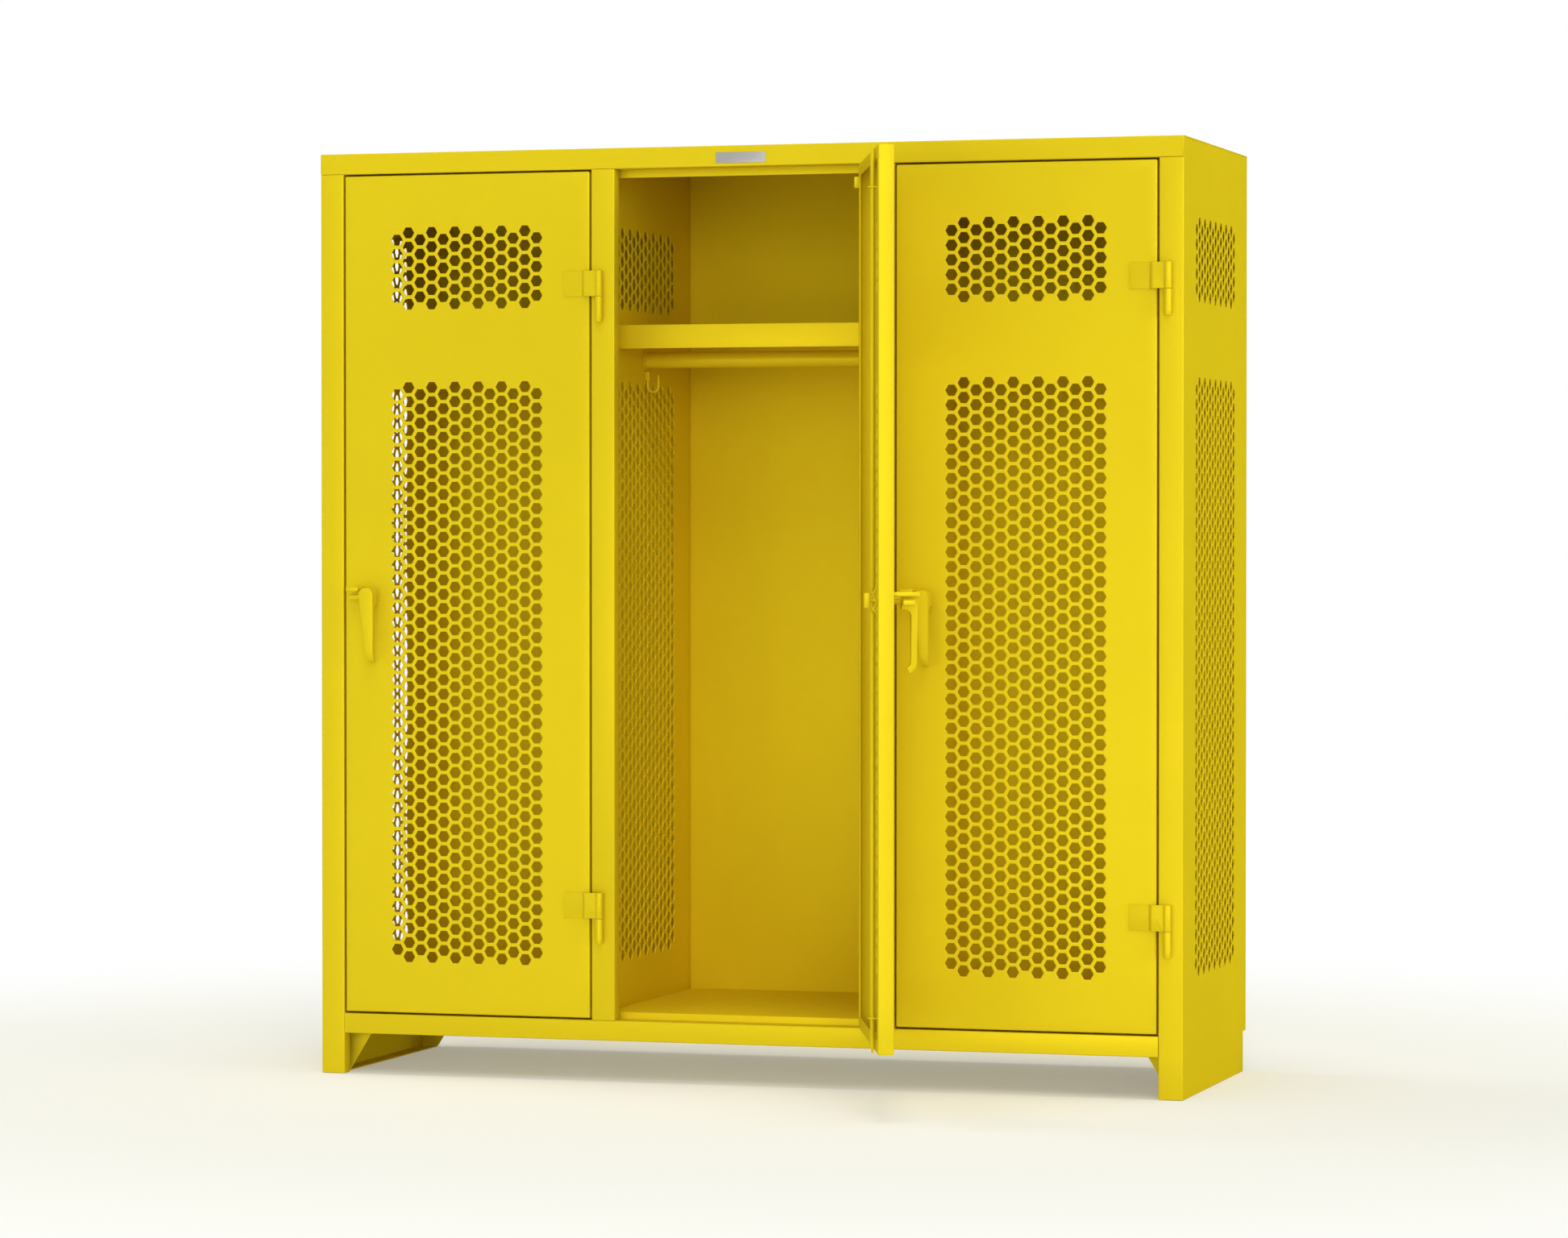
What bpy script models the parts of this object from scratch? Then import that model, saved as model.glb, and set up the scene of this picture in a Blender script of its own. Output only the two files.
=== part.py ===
"""Ventilated single-tier locker, three bays wide, with a welded sheet-steel body and three inset doors.

Metres, +Z up. X runs across the bays from left to right and Y from the front face to the back. The locker
stands on z = 0 with the middle of its bounding box over the origin. The left and right doors are closed
and the middle one stands open.
"""

import math

import bmesh
import bpy
from mathutils import Matrix, Vector

# Driving sizes of the body
HEIGHT = 1.9812
DEPTH = 0.635
BAY_NAMES = ("left", "middle", "right")
BAY_OPENING = 0.5639
POST_WIDTH = 0.0518
POST_RETURN = 0.0318
SHEET = 0.0027
FIT = 0.0003
OVERRUN = 0.004
HEADER_HEIGHT = 0.0442
RAIL_BOTTOM = 0.0878
RAIL_TOP = 0.131
FLOOR_TOP = 0.1461
STOP_SETBACK = 0.0466
STOP_DROP = 0.0165
BACK_FLANGE = 0.0254
LEG_SETBACK = 0.0315
FOOT_FLANGE = 0.0381
GUSSET_REACH = 0.0915
GUSSET_FOOT = 0.04
GUSSET_SETBACK = 0.066
DIVIDER_OFFSET = 0.0089
DIVIDER_FLANGE = 0.02

# Shelf, coat rod and coat hook
SHELF_DROP = 0.3693
SHELF_LIP = 0.0508
SHELF_BACK_LIP = 0.0254
SHELF_SETBACK = 0.1194
ROD_Y = 0.315
ROD_DROP = 0.0696
COAT_ROD_RADIUS = 0.0173
COAT_ROD_WALL = 0.0016
ROD_FLANGE_RADIUS = 0.024
ROD_FLANGE = 0.0025
HOOK_DROP = 0.0472
HOOK_REACH = 0.0305
HOOK_STEM = 0.0035
HOOK_WIRE = 0.003
HOOK_PRONG = 0.0235
HOOK_PLATE_SIZE = (0.0095, 0.022, 0.02)

# Door pan and its hinge axis
DOOR_GAP = 0.0044
DOOR_DEPTH = 0.0318
DOOR_LIP = 0.0254
OPEN_ANGLE = 110.0
AXIS_SETBACK = 0.0114
HINGE_SHIFT = 0.0048
LUG_SIZE = (0.012, 0.0105, 0.023)
LUG_DROP = 0.028
LUG_INSET = 0.007

# Hinges
HINGE_INSETS = (0.2126, 0.265)
KNUCKLE_RADIUS = 0.0081
KNUCKLE_LENGTH = 0.0545
KNUCKLE_TIP = 0.004
PIN_RADIUS = 0.0040
PIN_LENGTH = 0.045
PIN_CLEARANCE = 0.0006
WELD_PAD = 0.007
LEAF_THICKNESS = 0.003
LEAF_REACH = 0.0824
LEAF_FLAT = 0.043
LEAF_JOGGLE = 0.0066

# Handle, hasp and latch
SPINDLE_HEIGHT = 1.0328
SPINDLE_INSET = 0.0653
SPINDLE_RADIUS = 0.0075
SPINDLE_CLEARANCE = 0.0007
LEVER_WIDTH = 0.032
LEVER_TIP_WIDTH = 0.0127
LEVER_DROP = 0.1464
LEVER_FACE = 0.0505
LEVER_GRIP = 0.012
LEVER_ARM_START = 0.019
LEVER_ARM_DROP = 0.0173
LEVER_FILLET = 0.0155
LEVER_CURL = 0.012
LEVER_CURL_END = 250.0
TAB_REACH = 0.0445
TAB_DEPTH = 0.0254
TAB_THICKNESS = 0.011
TAB_DROP = 0.007
HASP_REACH = 0.0533
HASP_LEFT = 0.0445
HASP_NEAR = 0.0178
HASP_HEIGHT = 0.0086
HASP_THICKNESS = 0.0089
PADLOCK_HOLE = 0.0054
PADLOCK_INSET = 0.027
CAM_SETBACK = 0.026
CAM_THICKNESS = 0.003
CAM_WIDTH = 0.014
CAM_REACH = 0.024
LOCK_ROD_RADIUS = 0.00475
LOCK_ROD_SETBACK = 0.0381
LOCK_ROD_END = 0.0245
LOCK_ROD_POINT = 0.016
LOCK_ROD_TIP_SHARE = 0.3
LOCK_ROD_REACH = 0.0025
GUIDE_INSETS = (0.0678, 0.0809)
GUIDE_WIDTH = 0.017
GUIDE_THICKNESS = 0.003
GUIDE_CLEARANCE = 0.0006

# Ventilation fields: their real outlines, filled with enlarged hexagons
VENT_RISE = 0.1095
VENT_HEAD = 0.1159
VENT_UPPER_HEIGHT = 0.1766
VENT_GAP = 0.1549
DOOR_VENT_WIDTH = 0.3444
DOOR_VENT_COLUMNS = 3
SIDE_VENT_WIDTH = 0.3973
SIDE_VENT_COLUMNS = 4
SIDE_VENT_CENTRE = 0.3148
HOLE_SHARE = 0.76

# Counts of facets
ROUND_SIDES = 12
FILLET_STEPS = 4
HOOK_STEPS = 6
TUBE_RESOLUTION = 2

# Worked out from the sizes above
HALF_SHEET = SHEET / 2
WELD_DISTANCE = FIT / 100
BAYS = len(BAY_NAMES)
WIDTH = BAYS * BAY_OPENING + (BAYS + 1) * POST_WIDTH
SIDE = WIDTH / 2
BAY_PITCH = BAY_OPENING + POST_WIDTH
HEADER_BOTTOM = HEIGHT - HEADER_HEIGHT
WALL_TOP = HEIGHT - SHEET - FIT
LEG_DEPTH = DEPTH - LEG_SETBACK
INNER_BACK = DEPTH - 2 * SHEET - 2 * FIT
DOOR_BOTTOM = RAIL_TOP + DOOR_GAP
DOOR_TOP = HEADER_BOTTOM - DOOR_GAP
HINGE_EDGE = POST_WIDTH / 2 + DOOR_GAP - HINGE_SHIFT
FREE_EDGE = HINGE_EDGE + BAY_OPENING - 2 * DOOR_GAP
SPINDLE_X = SPINDLE_INSET - FREE_EDGE
HINGE_HEIGHTS = (DOOR_BOTTOM + HINGE_INSETS[0], DOOR_TOP - HINGE_INSETS[1])
GUIDE_HEIGHTS = (DOOR_BOTTOM + GUIDE_INSETS[0], DOOR_TOP - GUIDE_INSETS[1])
VENT_UPPER_TOP = HEADER_BOTTOM - VENT_HEAD
VENT_UPPER = (VENT_UPPER_TOP - VENT_UPPER_HEIGHT, VENT_UPPER_TOP)
VENT_LOWER = (DOOR_BOTTOM + VENT_RISE, VENT_UPPER[0] - VENT_GAP)
SHELF_TOP = HEIGHT - SHELF_DROP
ROD_Z = SHELF_TOP - ROD_DROP
HOOK_TOP = ROD_Z - ROD_FLANGE_RADIUS - 2 * FIT
OPEN_REACH = (
    FREE_EDGE * math.sin(math.radians(OPEN_ANGLE))
    - (AXIS_SETBACK + DOOR_DEPTH) * math.cos(math.radians(OPEN_ANGLE))
    + AXIS_SETBACK
)
FRONT_FACE_Y = (OPEN_REACH - DEPTH) / 2
BAY_ANGLES = (0.0, OPEN_ANGLE, 0.0)
SIX_SIDES = 6
HEX_COLUMN_SHARE = math.sqrt(3) / 2

# Ways to lay a flat outline (a, b) and its thickness c in space
PLAN = Matrix.Identity(4)
SECTION = Matrix(((0, 0, 1, 0), (1, 0, 0, 0), (0, 1, 0, 0), (0, 0, 0, 1)))
FRONT = Matrix(((1, 0, 0, 0), (0, 0, -1, 0), (0, 1, 0, 0), (0, 0, 0, 1)))


def clear_scene():
    """Remove what the scene holds at the start."""
    for obj in list(bpy.data.objects):
        bpy.data.objects.remove(obj, do_unlink=True)


def paint(name, colour, roughness):
    """Return a painted material."""
    material = bpy.data.materials.new(name)
    material.use_nodes = True
    shader = material.node_tree.nodes["Principled BSDF"]
    shader.inputs["Base Color"].default_value = (*colour, 1.0)
    shader.inputs["Roughness"].default_value = roughness
    return material


def mesh_from(bm):
    """Turn a bmesh into a mesh with its faces pointing out."""
    bmesh.ops.recalc_face_normals(bm, faces=bm.faces)
    mesh = bpy.data.meshes.new("shape")
    bm.to_mesh(mesh)
    bm.free()
    return mesh


def evaluated(obj):
    """Return the object's evaluated shape as a welded mesh, and remove the object."""
    bpy.context.scene.collection.objects.link(obj)
    graph = bpy.context.evaluated_depsgraph_get()
    shape = bpy.data.meshes.new_from_object(obj.evaluated_get(graph))
    bpy.data.objects.remove(obj)
    bm = bmesh.new()
    bm.from_mesh(shape)
    bpy.data.meshes.remove(shape)
    bmesh.ops.remove_doubles(bm, verts=bm.verts, dist=WELD_DISTANCE)
    return mesh_from(bm)


def combined(base, tool, operation):
    """Join two meshes, cut the first by the second, or keep what they share."""
    helper = bpy.data.objects.new("helper", tool)
    bpy.context.scene.collection.objects.link(helper)
    body = bpy.data.objects.new("body", base)
    modifier = body.modifiers.new("Boolean", "BOOLEAN")
    modifier.operation = operation
    modifier.solver = "EXACT"
    modifier.object = helper
    result = evaluated(body)
    bpy.data.objects.remove(helper)
    return result


def boxes(*spans):
    """Return one mesh of boxes, each given as its spans along X, Y and Z."""
    bm = bmesh.new()
    for span in spans:
        middle = Vector([(low + high) / 2 for low, high in span])
        size = [high - low for low, high in span]
        matrix = Matrix.Translation(middle) @ Matrix.Diagonal((*size, 1))
        bmesh.ops.create_cube(bm, size=1, matrix=matrix)
    return mesh_from(bm)


def cylinder(radius, start, end):
    """Return a round prism between two points."""
    run = end - start
    bm = bmesh.new()
    facing = run.to_track_quat("Z", "Y").to_matrix().to_4x4()
    matrix = Matrix.Translation((start + end) / 2) @ facing
    bmesh.ops.create_cone(
        bm,
        cap_ends=True,
        segments=ROUND_SIDES,
        radius1=radius,
        radius2=radius,
        depth=run.length,
        matrix=matrix,
    )
    return mesh_from(bm)


def folded_sheet(centre_line, span, layout):
    """Fold sheet metal along an open centre line and run it over a span."""
    low, high = span
    bm = bmesh.new()
    points = [bm.verts.new((a, b, low)) for a, b in centre_line]
    edges = [bm.edges.new(pair) for pair in zip(points, points[1:])]
    grown = bmesh.ops.extrude_edge_only(bm, edges=edges)["geom"]
    far = [item for item in grown if isinstance(item, bmesh.types.BMVert)]
    bmesh.ops.translate(bm, verts=far, vec=(0, 0, high - low))
    bmesh.ops.transform(bm, verts=bm.verts, matrix=layout)
    sheet = bpy.data.objects.new("sheet", mesh_from(bm))
    thicken(sheet, 0.0)
    return evaluated(sheet)


def thicken(obj, offset):
    """Give an open surface the thickness of the sheet."""
    solidify = obj.modifiers.new("Solidify", "SOLIDIFY")
    solidify.thickness = SHEET
    solidify.offset = offset
    solidify.use_even_offset = True


def outline_solid(outlines, thickness, layout):
    """Fill a flat outline, with any further outlines as holes, to a thickness about its plane."""
    curve = bpy.data.curves.new("outline", "CURVE")
    curve.dimensions = "2D"
    curve.fill_mode = "BOTH"
    curve.extrude = thickness / 2
    for outline in outlines:
        spline = curve.splines.new("POLY")
        spline.points.add(len(outline) - 1)
        for point, (a, b) in zip(spline.points, outline):
            point.co = (a, b, 0, 1)
        spline.use_cyclic_u = True
    shape = evaluated(bpy.data.objects.new("outline", curve))
    shape.transform(layout)
    return shape


def tube(points, radius, tip_share=1.0):
    """Run a round bar through points; the last point may be thinner, which makes a pointed end."""
    curve = bpy.data.curves.new("tube", "CURVE")
    curve.dimensions = "3D"
    curve.bevel_depth = radius
    curve.bevel_resolution = TUBE_RESOLUTION
    curve.use_fill_caps = True
    spline = curve.splines.new("POLY")
    spline.points.add(len(points) - 1)
    for point, place in zip(spline.points, points):
        point.co = (*place, 1)
    spline.points[-1].radius = tip_share
    return evaluated(bpy.data.objects.new("tube", curve))


def turned(profile, closed):
    """Spin a profile of (radius, height) points about Z; an open one starts and ends on the axis."""
    bm = bmesh.new()
    points = [bm.verts.new((radius, 0, height)) for radius, height in profile]
    ends = points[1:] + points[:1] if closed else points[1:]
    for pair in zip(points, ends):
        bm.edges.new(pair)
    spun = bpy.data.objects.new("turned", mesh_from(bm))
    screw = spun.modifiers.new("Screw", "SCREW")
    screw.steps = ROUND_SIDES
    screw.render_steps = ROUND_SIDES
    screw.use_merge_vertices = True
    screw.merge_threshold = WELD_DISTANCE
    return evaluated(spun)


def arc(centre, radius, start, end, steps):
    """Return points on an arc, its angles in degrees."""
    turns = [math.radians(start + (end - start) * step / steps) for step in range(steps + 1)]
    return [(centre[0] + radius * math.cos(turn), centre[1] + radius * math.sin(turn)) for turn in turns]


def mirrored(mesh):
    """Return the mesh mirrored across the locker's middle."""
    bm = bmesh.new()
    bm.from_mesh(mesh)
    bmesh.ops.scale(bm, vec=(-1, 1, 1), verts=bm.verts)
    bmesh.ops.reverse_faces(bm, faces=bm.faces)
    return mesh_from(bm)


def hexagon_centres(middle, width, columns):
    """Return the hexagons' centres (across, up) and their distance across flats.

    The columns are staggered by half a pitch and fill both ventilation fields.
    """
    corner_share = HOLE_SHARE / HEX_COLUMN_SHARE
    pitch = width / ((columns - 1) * HEX_COLUMN_SHARE + corner_share)
    hole = pitch * HOLE_SHARE
    centres = []
    for bottom, top in (VENT_LOWER, VENT_UPPER):
        for column in range(columns):
            across = middle + (column - (columns - 1) / 2) * pitch * HEX_COLUMN_SHARE
            drop = column % 2 * pitch / 2
            rows = int((top - bottom - hole - drop) / pitch) + 1
            centres += [(across, top - hole / 2 - drop - row * pitch) for row in range(rows)]
    return centres, hole


def hexagon_cutter(centres, hole, span, layout):
    """Return flat-topped hexagonal prisms that reach over a span across the panel."""
    low, high = span
    radius = hole / 2 / HEX_COLUMN_SHARE
    bm = bmesh.new()
    flat_topped = Matrix.Rotation(math.pi / 2, 4, "Z")
    for across, up in centres:
        bmesh.ops.create_cone(
            bm,
            cap_ends=True,
            segments=SIX_SIDES,
            radius1=radius,
            radius2=radius,
            depth=high - low,
            matrix=layout @ Matrix.Translation((across, up, (low + high) / 2)) @ flat_topped,
        )
    return mesh_from(bm)


def side_panel():
    """Left side panel: perforated sheet, folded round into the front post, with its leg and foot."""
    post_edge = POST_WIDTH - HALF_SHEET - SIDE
    line = [
        (post_edge, POST_RETURN),
        (post_edge, HALF_SHEET),
        (HALF_SHEET - SIDE, HALF_SHEET),
        (HALF_SHEET - SIDE, DEPTH - HALF_SHEET),
        (BACK_FLANGE - SIDE, DEPTH - HALF_SHEET),
    ]
    panel = folded_sheet(line, (0, WALL_TOP), PLAN)
    foot = boxes(((HALF_SHEET - SIDE, FOOT_FLANGE - SIDE), (HALF_SHEET, LEG_DEPTH), (0, SHEET)))
    panel = combined(panel, foot, "UNION")
    across = (-SIDE - OVERRUN, POST_WIDTH - SIDE + OVERRUN)
    above_door = (HEADER_BOTTOM - FIT, HEIGHT)
    trims = (
        (across, (-OVERRUN, SHEET + 2 * FIT), above_door),
        ((post_edge - POST_WIDTH / 2, across[1]), (-OVERRUN, POST_RETURN + OVERRUN), above_door),
    )
    for trim in trims:
        panel = combined(panel, boxes(trim), "DIFFERENCE")
    leg_notch = boxes((across, (LEG_DEPTH, DEPTH + OVERRUN), (-OVERRUN, RAIL_BOTTOM)))
    panel = combined(panel, leg_notch, "DIFFERENCE")
    centres, hole = hexagon_centres(SIDE_VENT_CENTRE, SIDE_VENT_WIDTH, SIDE_VENT_COLUMNS)
    vents = hexagon_cutter(centres, hole, (-SIDE - OVERRUN, SHEET - SIDE + OVERRUN), SECTION)
    return combined(panel, vents, "DIFFERENCE")


def divider(post_centre):
    """Perforated divider with a flange inside the divider post and one along the back panel."""
    sheet_x = post_centre - DIVIDER_OFFSET
    front = SHEET + FIT + HALF_SHEET
    line = [
        (sheet_x + DIVIDER_FLANGE, front),
        (sheet_x, front),
        (sheet_x, INNER_BACK - HALF_SHEET),
        (sheet_x - DIVIDER_FLANGE, INNER_BACK - HALF_SHEET),
    ]
    panel = folded_sheet(line, (FLOOR_TOP + FIT, WALL_TOP), PLAN)
    across = (sheet_x - SHEET, sheet_x + DIVIDER_FLANGE + OVERRUN)
    header_room = (HEADER_BOTTOM - STOP_DROP - FIT, HEIGHT)
    notch = boxes((across, (0, STOP_SETBACK + SHEET), header_room))
    panel = combined(panel, notch, "DIFFERENCE")
    centres, hole = hexagon_centres(SIDE_VENT_CENTRE, SIDE_VENT_WIDTH, SIDE_VENT_COLUMNS)
    vents = hexagon_cutter(centres, hole, (sheet_x - OVERRUN, sheet_x + OVERRUN), SECTION)
    return combined(panel, vents, "DIFFERENCE")


def divider_post(post_centre):
    """Folded channel that stands on the bottom rail and carries a door's hinges."""
    half = POST_WIDTH / 2 - HALF_SHEET
    line = [
        (post_centre - half, POST_RETURN),
        (post_centre - half, HALF_SHEET),
        (post_centre + half, HALF_SHEET),
        (post_centre + half, POST_RETURN),
    ]
    return folded_sheet(line, (RAIL_TOP + FIT, HEADER_BOTTOM - FIT), PLAN)


def top_panel():
    """Top sheet folded down into the header face and back under it, up to the door stop."""
    line = [
        (STOP_SETBACK - HALF_SHEET - FIT, HEADER_BOTTOM + HALF_SHEET),
        (HALF_SHEET, HEADER_BOTTOM + HALF_SHEET),
        (HALF_SHEET, HEIGHT - HALF_SHEET),
        (DEPTH, HEIGHT - HALF_SHEET),
    ]
    panel = folded_sheet(line, (-SIDE, SIDE), SECTION)
    inset = SIDE - SHEET - FIT
    room = ((SHEET + FIT, STOP_SETBACK), (HEADER_BOTTOM - OVERRUN, HEIGHT - 2 * SHEET))
    ends = boxes(((-SIDE - OVERRUN, -inset), *room), ((inset, SIDE + OVERRUN), *room))
    return combined(panel, ends, "DIFFERENCE")


def header_stop():
    """Strip behind the header that the doors close against."""
    reach = SIDE - SHEET - FIT
    depth = (STOP_SETBACK - HALF_SHEET, STOP_SETBACK + HALF_SHEET)
    return boxes(((-reach, reach), depth, (HEADER_BOTTOM - STOP_DROP, HEADER_BOTTOM + SHEET)))


def bottom_rail():
    """Channel under the doors, between the two outer posts."""
    back = STOP_SETBACK - HALF_SHEET - FIT
    line = [
        (back, RAIL_BOTTOM + HALF_SHEET),
        (HALF_SHEET, RAIL_BOTTOM + HALF_SHEET),
        (HALF_SHEET, RAIL_TOP - HALF_SHEET),
        (back, RAIL_TOP - HALF_SHEET),
    ]
    reach = SIDE - POST_WIDTH - FIT
    return folded_sheet(line, (-reach, reach), SECTION)


def floor_pan():
    """Floor sheet with a front lip, the lower door stop, and a back lip."""
    line = [
        (STOP_SETBACK, RAIL_BOTTOM),
        (STOP_SETBACK, FLOOR_TOP - HALF_SHEET),
        (INNER_BACK - HALF_SHEET, FLOOR_TOP - HALF_SHEET),
        (INNER_BACK - HALF_SHEET, RAIL_BOTTOM),
    ]
    reach = SIDE - SHEET - FIT
    return folded_sheet(line, (-reach, reach), SECTION)


def back_panel():
    """Flat sheet inside the side panels' back flanges."""
    reach = SIDE - SHEET - FIT
    return boxes(((-reach, reach), (INNER_BACK + FIT, INNER_BACK + FIT + SHEET), (RAIL_BOTTOM, WALL_TOP)))


def shelf(span):
    """Hat shelf with a deep front lip and a back lip."""
    back = INNER_BACK - SHEET - FIT - HALF_SHEET
    line = [
        (SHELF_SETBACK, SHELF_TOP - SHELF_LIP),
        (SHELF_SETBACK, SHELF_TOP - HALF_SHEET),
        (back, SHELF_TOP - HALF_SHEET),
        (back, SHELF_TOP - SHELF_BACK_LIP),
    ]
    return folded_sheet(line, span, SECTION)


def coat_rod(length):
    """Tube along X with a flange at both walls, its middle at the origin."""
    half = length / 2
    bore = COAT_ROD_RADIUS - COAT_ROD_WALL
    profile = [
        (bore, half),
        (bore, -half),
        (ROD_FLANGE_RADIUS, -half),
        (ROD_FLANGE_RADIUS, ROD_FLANGE - half),
        (COAT_ROD_RADIUS, ROD_FLANGE - half),
        (COAT_ROD_RADIUS, half - ROD_FLANGE),
        (ROD_FLANGE_RADIUS, half - ROD_FLANGE),
        (ROD_FLANGE_RADIUS, half),
    ]
    rod = turned(profile, closed=True)
    rod.transform(SECTION)
    return rod


def coat_hook():
    """Wall plate with a round-wire J hook; the wall is at x = 0 and the plate's top at z = 0."""
    depth, width, height = HOOK_PLATE_SIZE
    plate = boxes(((0, depth), (-width / 2, width / 2), (-height, 0)))
    prong_x = HOOK_REACH - HOOK_WIRE
    bend_radius = (prong_x - HOOK_STEM) / 2
    bend_z = bend_radius + HOOK_WIRE - HOOK_DROP
    bend = arc((HOOK_STEM + bend_radius, bend_z), bend_radius, 180, 360, HOOK_STEPS)
    path = [(HOOK_STEM, -height / 2)] + bend + [(prong_x, bend_z + HOOK_PRONG)]
    wire = tube([(x, 0, z) for x, z in path], HOOK_WIRE)
    return combined(plate, wire, "UNION")


def gusset():
    """Tapered plate in the left leg's corner, its front face at y = 0."""
    outer = SHEET + FIT - SIDE
    outline = [
        (outer, SHEET + FIT),
        (GUSSET_FOOT - SIDE, SHEET + FIT),
        (GUSSET_REACH - SIDE, RAIL_BOTTOM - FIT),
        (outer, RAIL_BOTTOM - FIT),
    ]
    plate = outline_solid([outline], SHEET, FRONT)
    plate.transform(Matrix.Translation((0, HALF_SHEET, 0)))
    return plate


def door_pan():
    """Perforated door folded into a pan with returned lips, closed, seen from its hinge axis."""
    face = AXIS_SETBACK
    size = Vector((FREE_EDGE - HINGE_EDGE, DOOR_DEPTH, DOOR_TOP - DOOR_BOTTOM))
    middle = Vector((-(FREE_EDGE + HINGE_EDGE) / 2, face + DOOR_DEPTH / 2, (DOOR_TOP + DOOR_BOTTOM) / 2))
    bm = bmesh.new()
    matrix = Matrix.Translation(middle) @ Matrix.Diagonal((*size, 1))
    bmesh.ops.create_cube(bm, size=1, matrix=matrix)
    inside = [max(bm.faces, key=lambda side: side.calc_center_median().y)]
    bmesh.ops.inset_region(bm, faces=inside, thickness=DOOR_LIP)
    bmesh.ops.delete(bm, geom=inside, context="FACES")
    mesh = bpy.data.meshes.new("pan")
    bm.to_mesh(mesh)
    bm.free()
    pan = bpy.data.objects.new("pan", mesh)
    thicken(pan, -1.0)
    pan = evaluated(pan)

    lip_plane = face + DOOR_DEPTH
    lug_x, lug_y, lug_z = LUG_SIZE
    lug_edge = -HINGE_EDGE - LUG_INSET
    lug_top = DOOR_TOP - LUG_DROP
    lug_depth = (lip_plane - HALF_SHEET, lip_plane + lug_y)
    lug = boxes(((lug_edge - lug_x, lug_edge), lug_depth, (lug_top - lug_z, lug_top)))
    pan = combined(pan, lug, "UNION")

    centres, hole = hexagon_centres(middle.x, DOOR_VENT_WIDTH, DOOR_VENT_COLUMNS)
    through = (-face - SHEET - OVERRUN, OVERRUN - face)
    pan = combined(pan, hexagon_cutter(centres, hole, through, FRONT), "DIFFERENCE")
    start = Vector((SPINDLE_X, face - OVERRUN, SPINDLE_HEIGHT))
    bore = cylinder(SPINDLE_RADIUS + SPINDLE_CLEARANCE, start, start + Vector((0, SHEET + 2 * OVERRUN, 0)))
    return combined(pan, bore, "DIFFERENCE")


def frame_knuckle():
    """Lower half of a hinge: knuckle with pin and weld pad, its upper end at z = 0 on the hinge axis."""
    profile = [
        (0, PIN_LENGTH),
        (PIN_RADIUS, PIN_LENGTH),
        (PIN_RADIUS, -FIT),
        (KNUCKLE_RADIUS, -FIT),
        (KNUCKLE_RADIUS, KNUCKLE_TIP - KNUCKLE_LENGTH),
        (KNUCKLE_RADIUS - KNUCKLE_TIP, -KNUCKLE_LENGTH),
        (0, -KNUCKLE_LENGTH),
    ]
    knuckle = turned(profile, closed=False)
    pad_level = (KNUCKLE_TIP - KNUCKLE_LENGTH, -2 * FIT)
    pad = boxes(((-WELD_PAD / 2, WELD_PAD / 2), (0, AXIS_SETBACK - FIT), pad_level))
    return combined(knuckle, pad, "UNION")


def door_knuckle():
    """Upper half of a hinge: knuckle and joggled leaf on the door's face, its lower end at z = 0."""
    half = LEAF_THICKNESS / 2
    low = AXIS_SETBACK - FIT - LEAF_THICKNESS
    join = math.degrees(math.asin(half / KNUCKLE_RADIUS))
    barrel = arc((0, 0), KNUCKLE_RADIUS, 180 + join, 540 - join, ROUND_SIDES)
    flat_start = LEAF_FLAT - LEAF_REACH
    raised_end = flat_start + LEAF_JOGGLE
    outline = barrel + [
        (raised_end, half),
        (flat_start, low + LEAF_THICKNESS),
        (-LEAF_REACH, low + LEAF_THICKNESS),
        (-LEAF_REACH, low),
        (flat_start, low),
        (raised_end, -half),
    ]
    bore = arc((0, 0), PIN_RADIUS + PIN_CLEARANCE, 0, 360, ROUND_SIDES)[:-1]
    leaf = outline_solid([outline, bore], KNUCKLE_LENGTH - FIT, PLAN)
    leaf.transform(Matrix.Translation((0, 0, (KNUCKLE_LENGTH + FIT) / 2)))
    return leaf


def hasp_plate():
    """Fixed plate over the handle, with the padlock's hole; the spindle's axis is at the origin."""
    level = (HASP_HEIGHT, HASP_HEIGHT + HASP_THICKNESS)
    plate = boxes(((-HASP_LEFT, -HASP_NEAR), (-HASP_REACH, -FIT), level))
    return combined(plate, padlock_bore(), "DIFFERENCE")


def padlock_bore():
    """Upright cutter for the padlock's shackle, through the hasp plate and the handle's tab."""
    middle_y = -LEVER_ARM_START - TAB_DEPTH / 2
    top = HASP_HEIGHT + HASP_THICKNESS + OVERRUN
    start = Vector((-PADLOCK_INSET, middle_y, HASP_HEIGHT - TAB_DROP - TAB_THICKNESS - OVERRUN))
    return cylinder(PADLOCK_HOLE, start, Vector((-PADLOCK_INSET, middle_y, top)))


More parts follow.
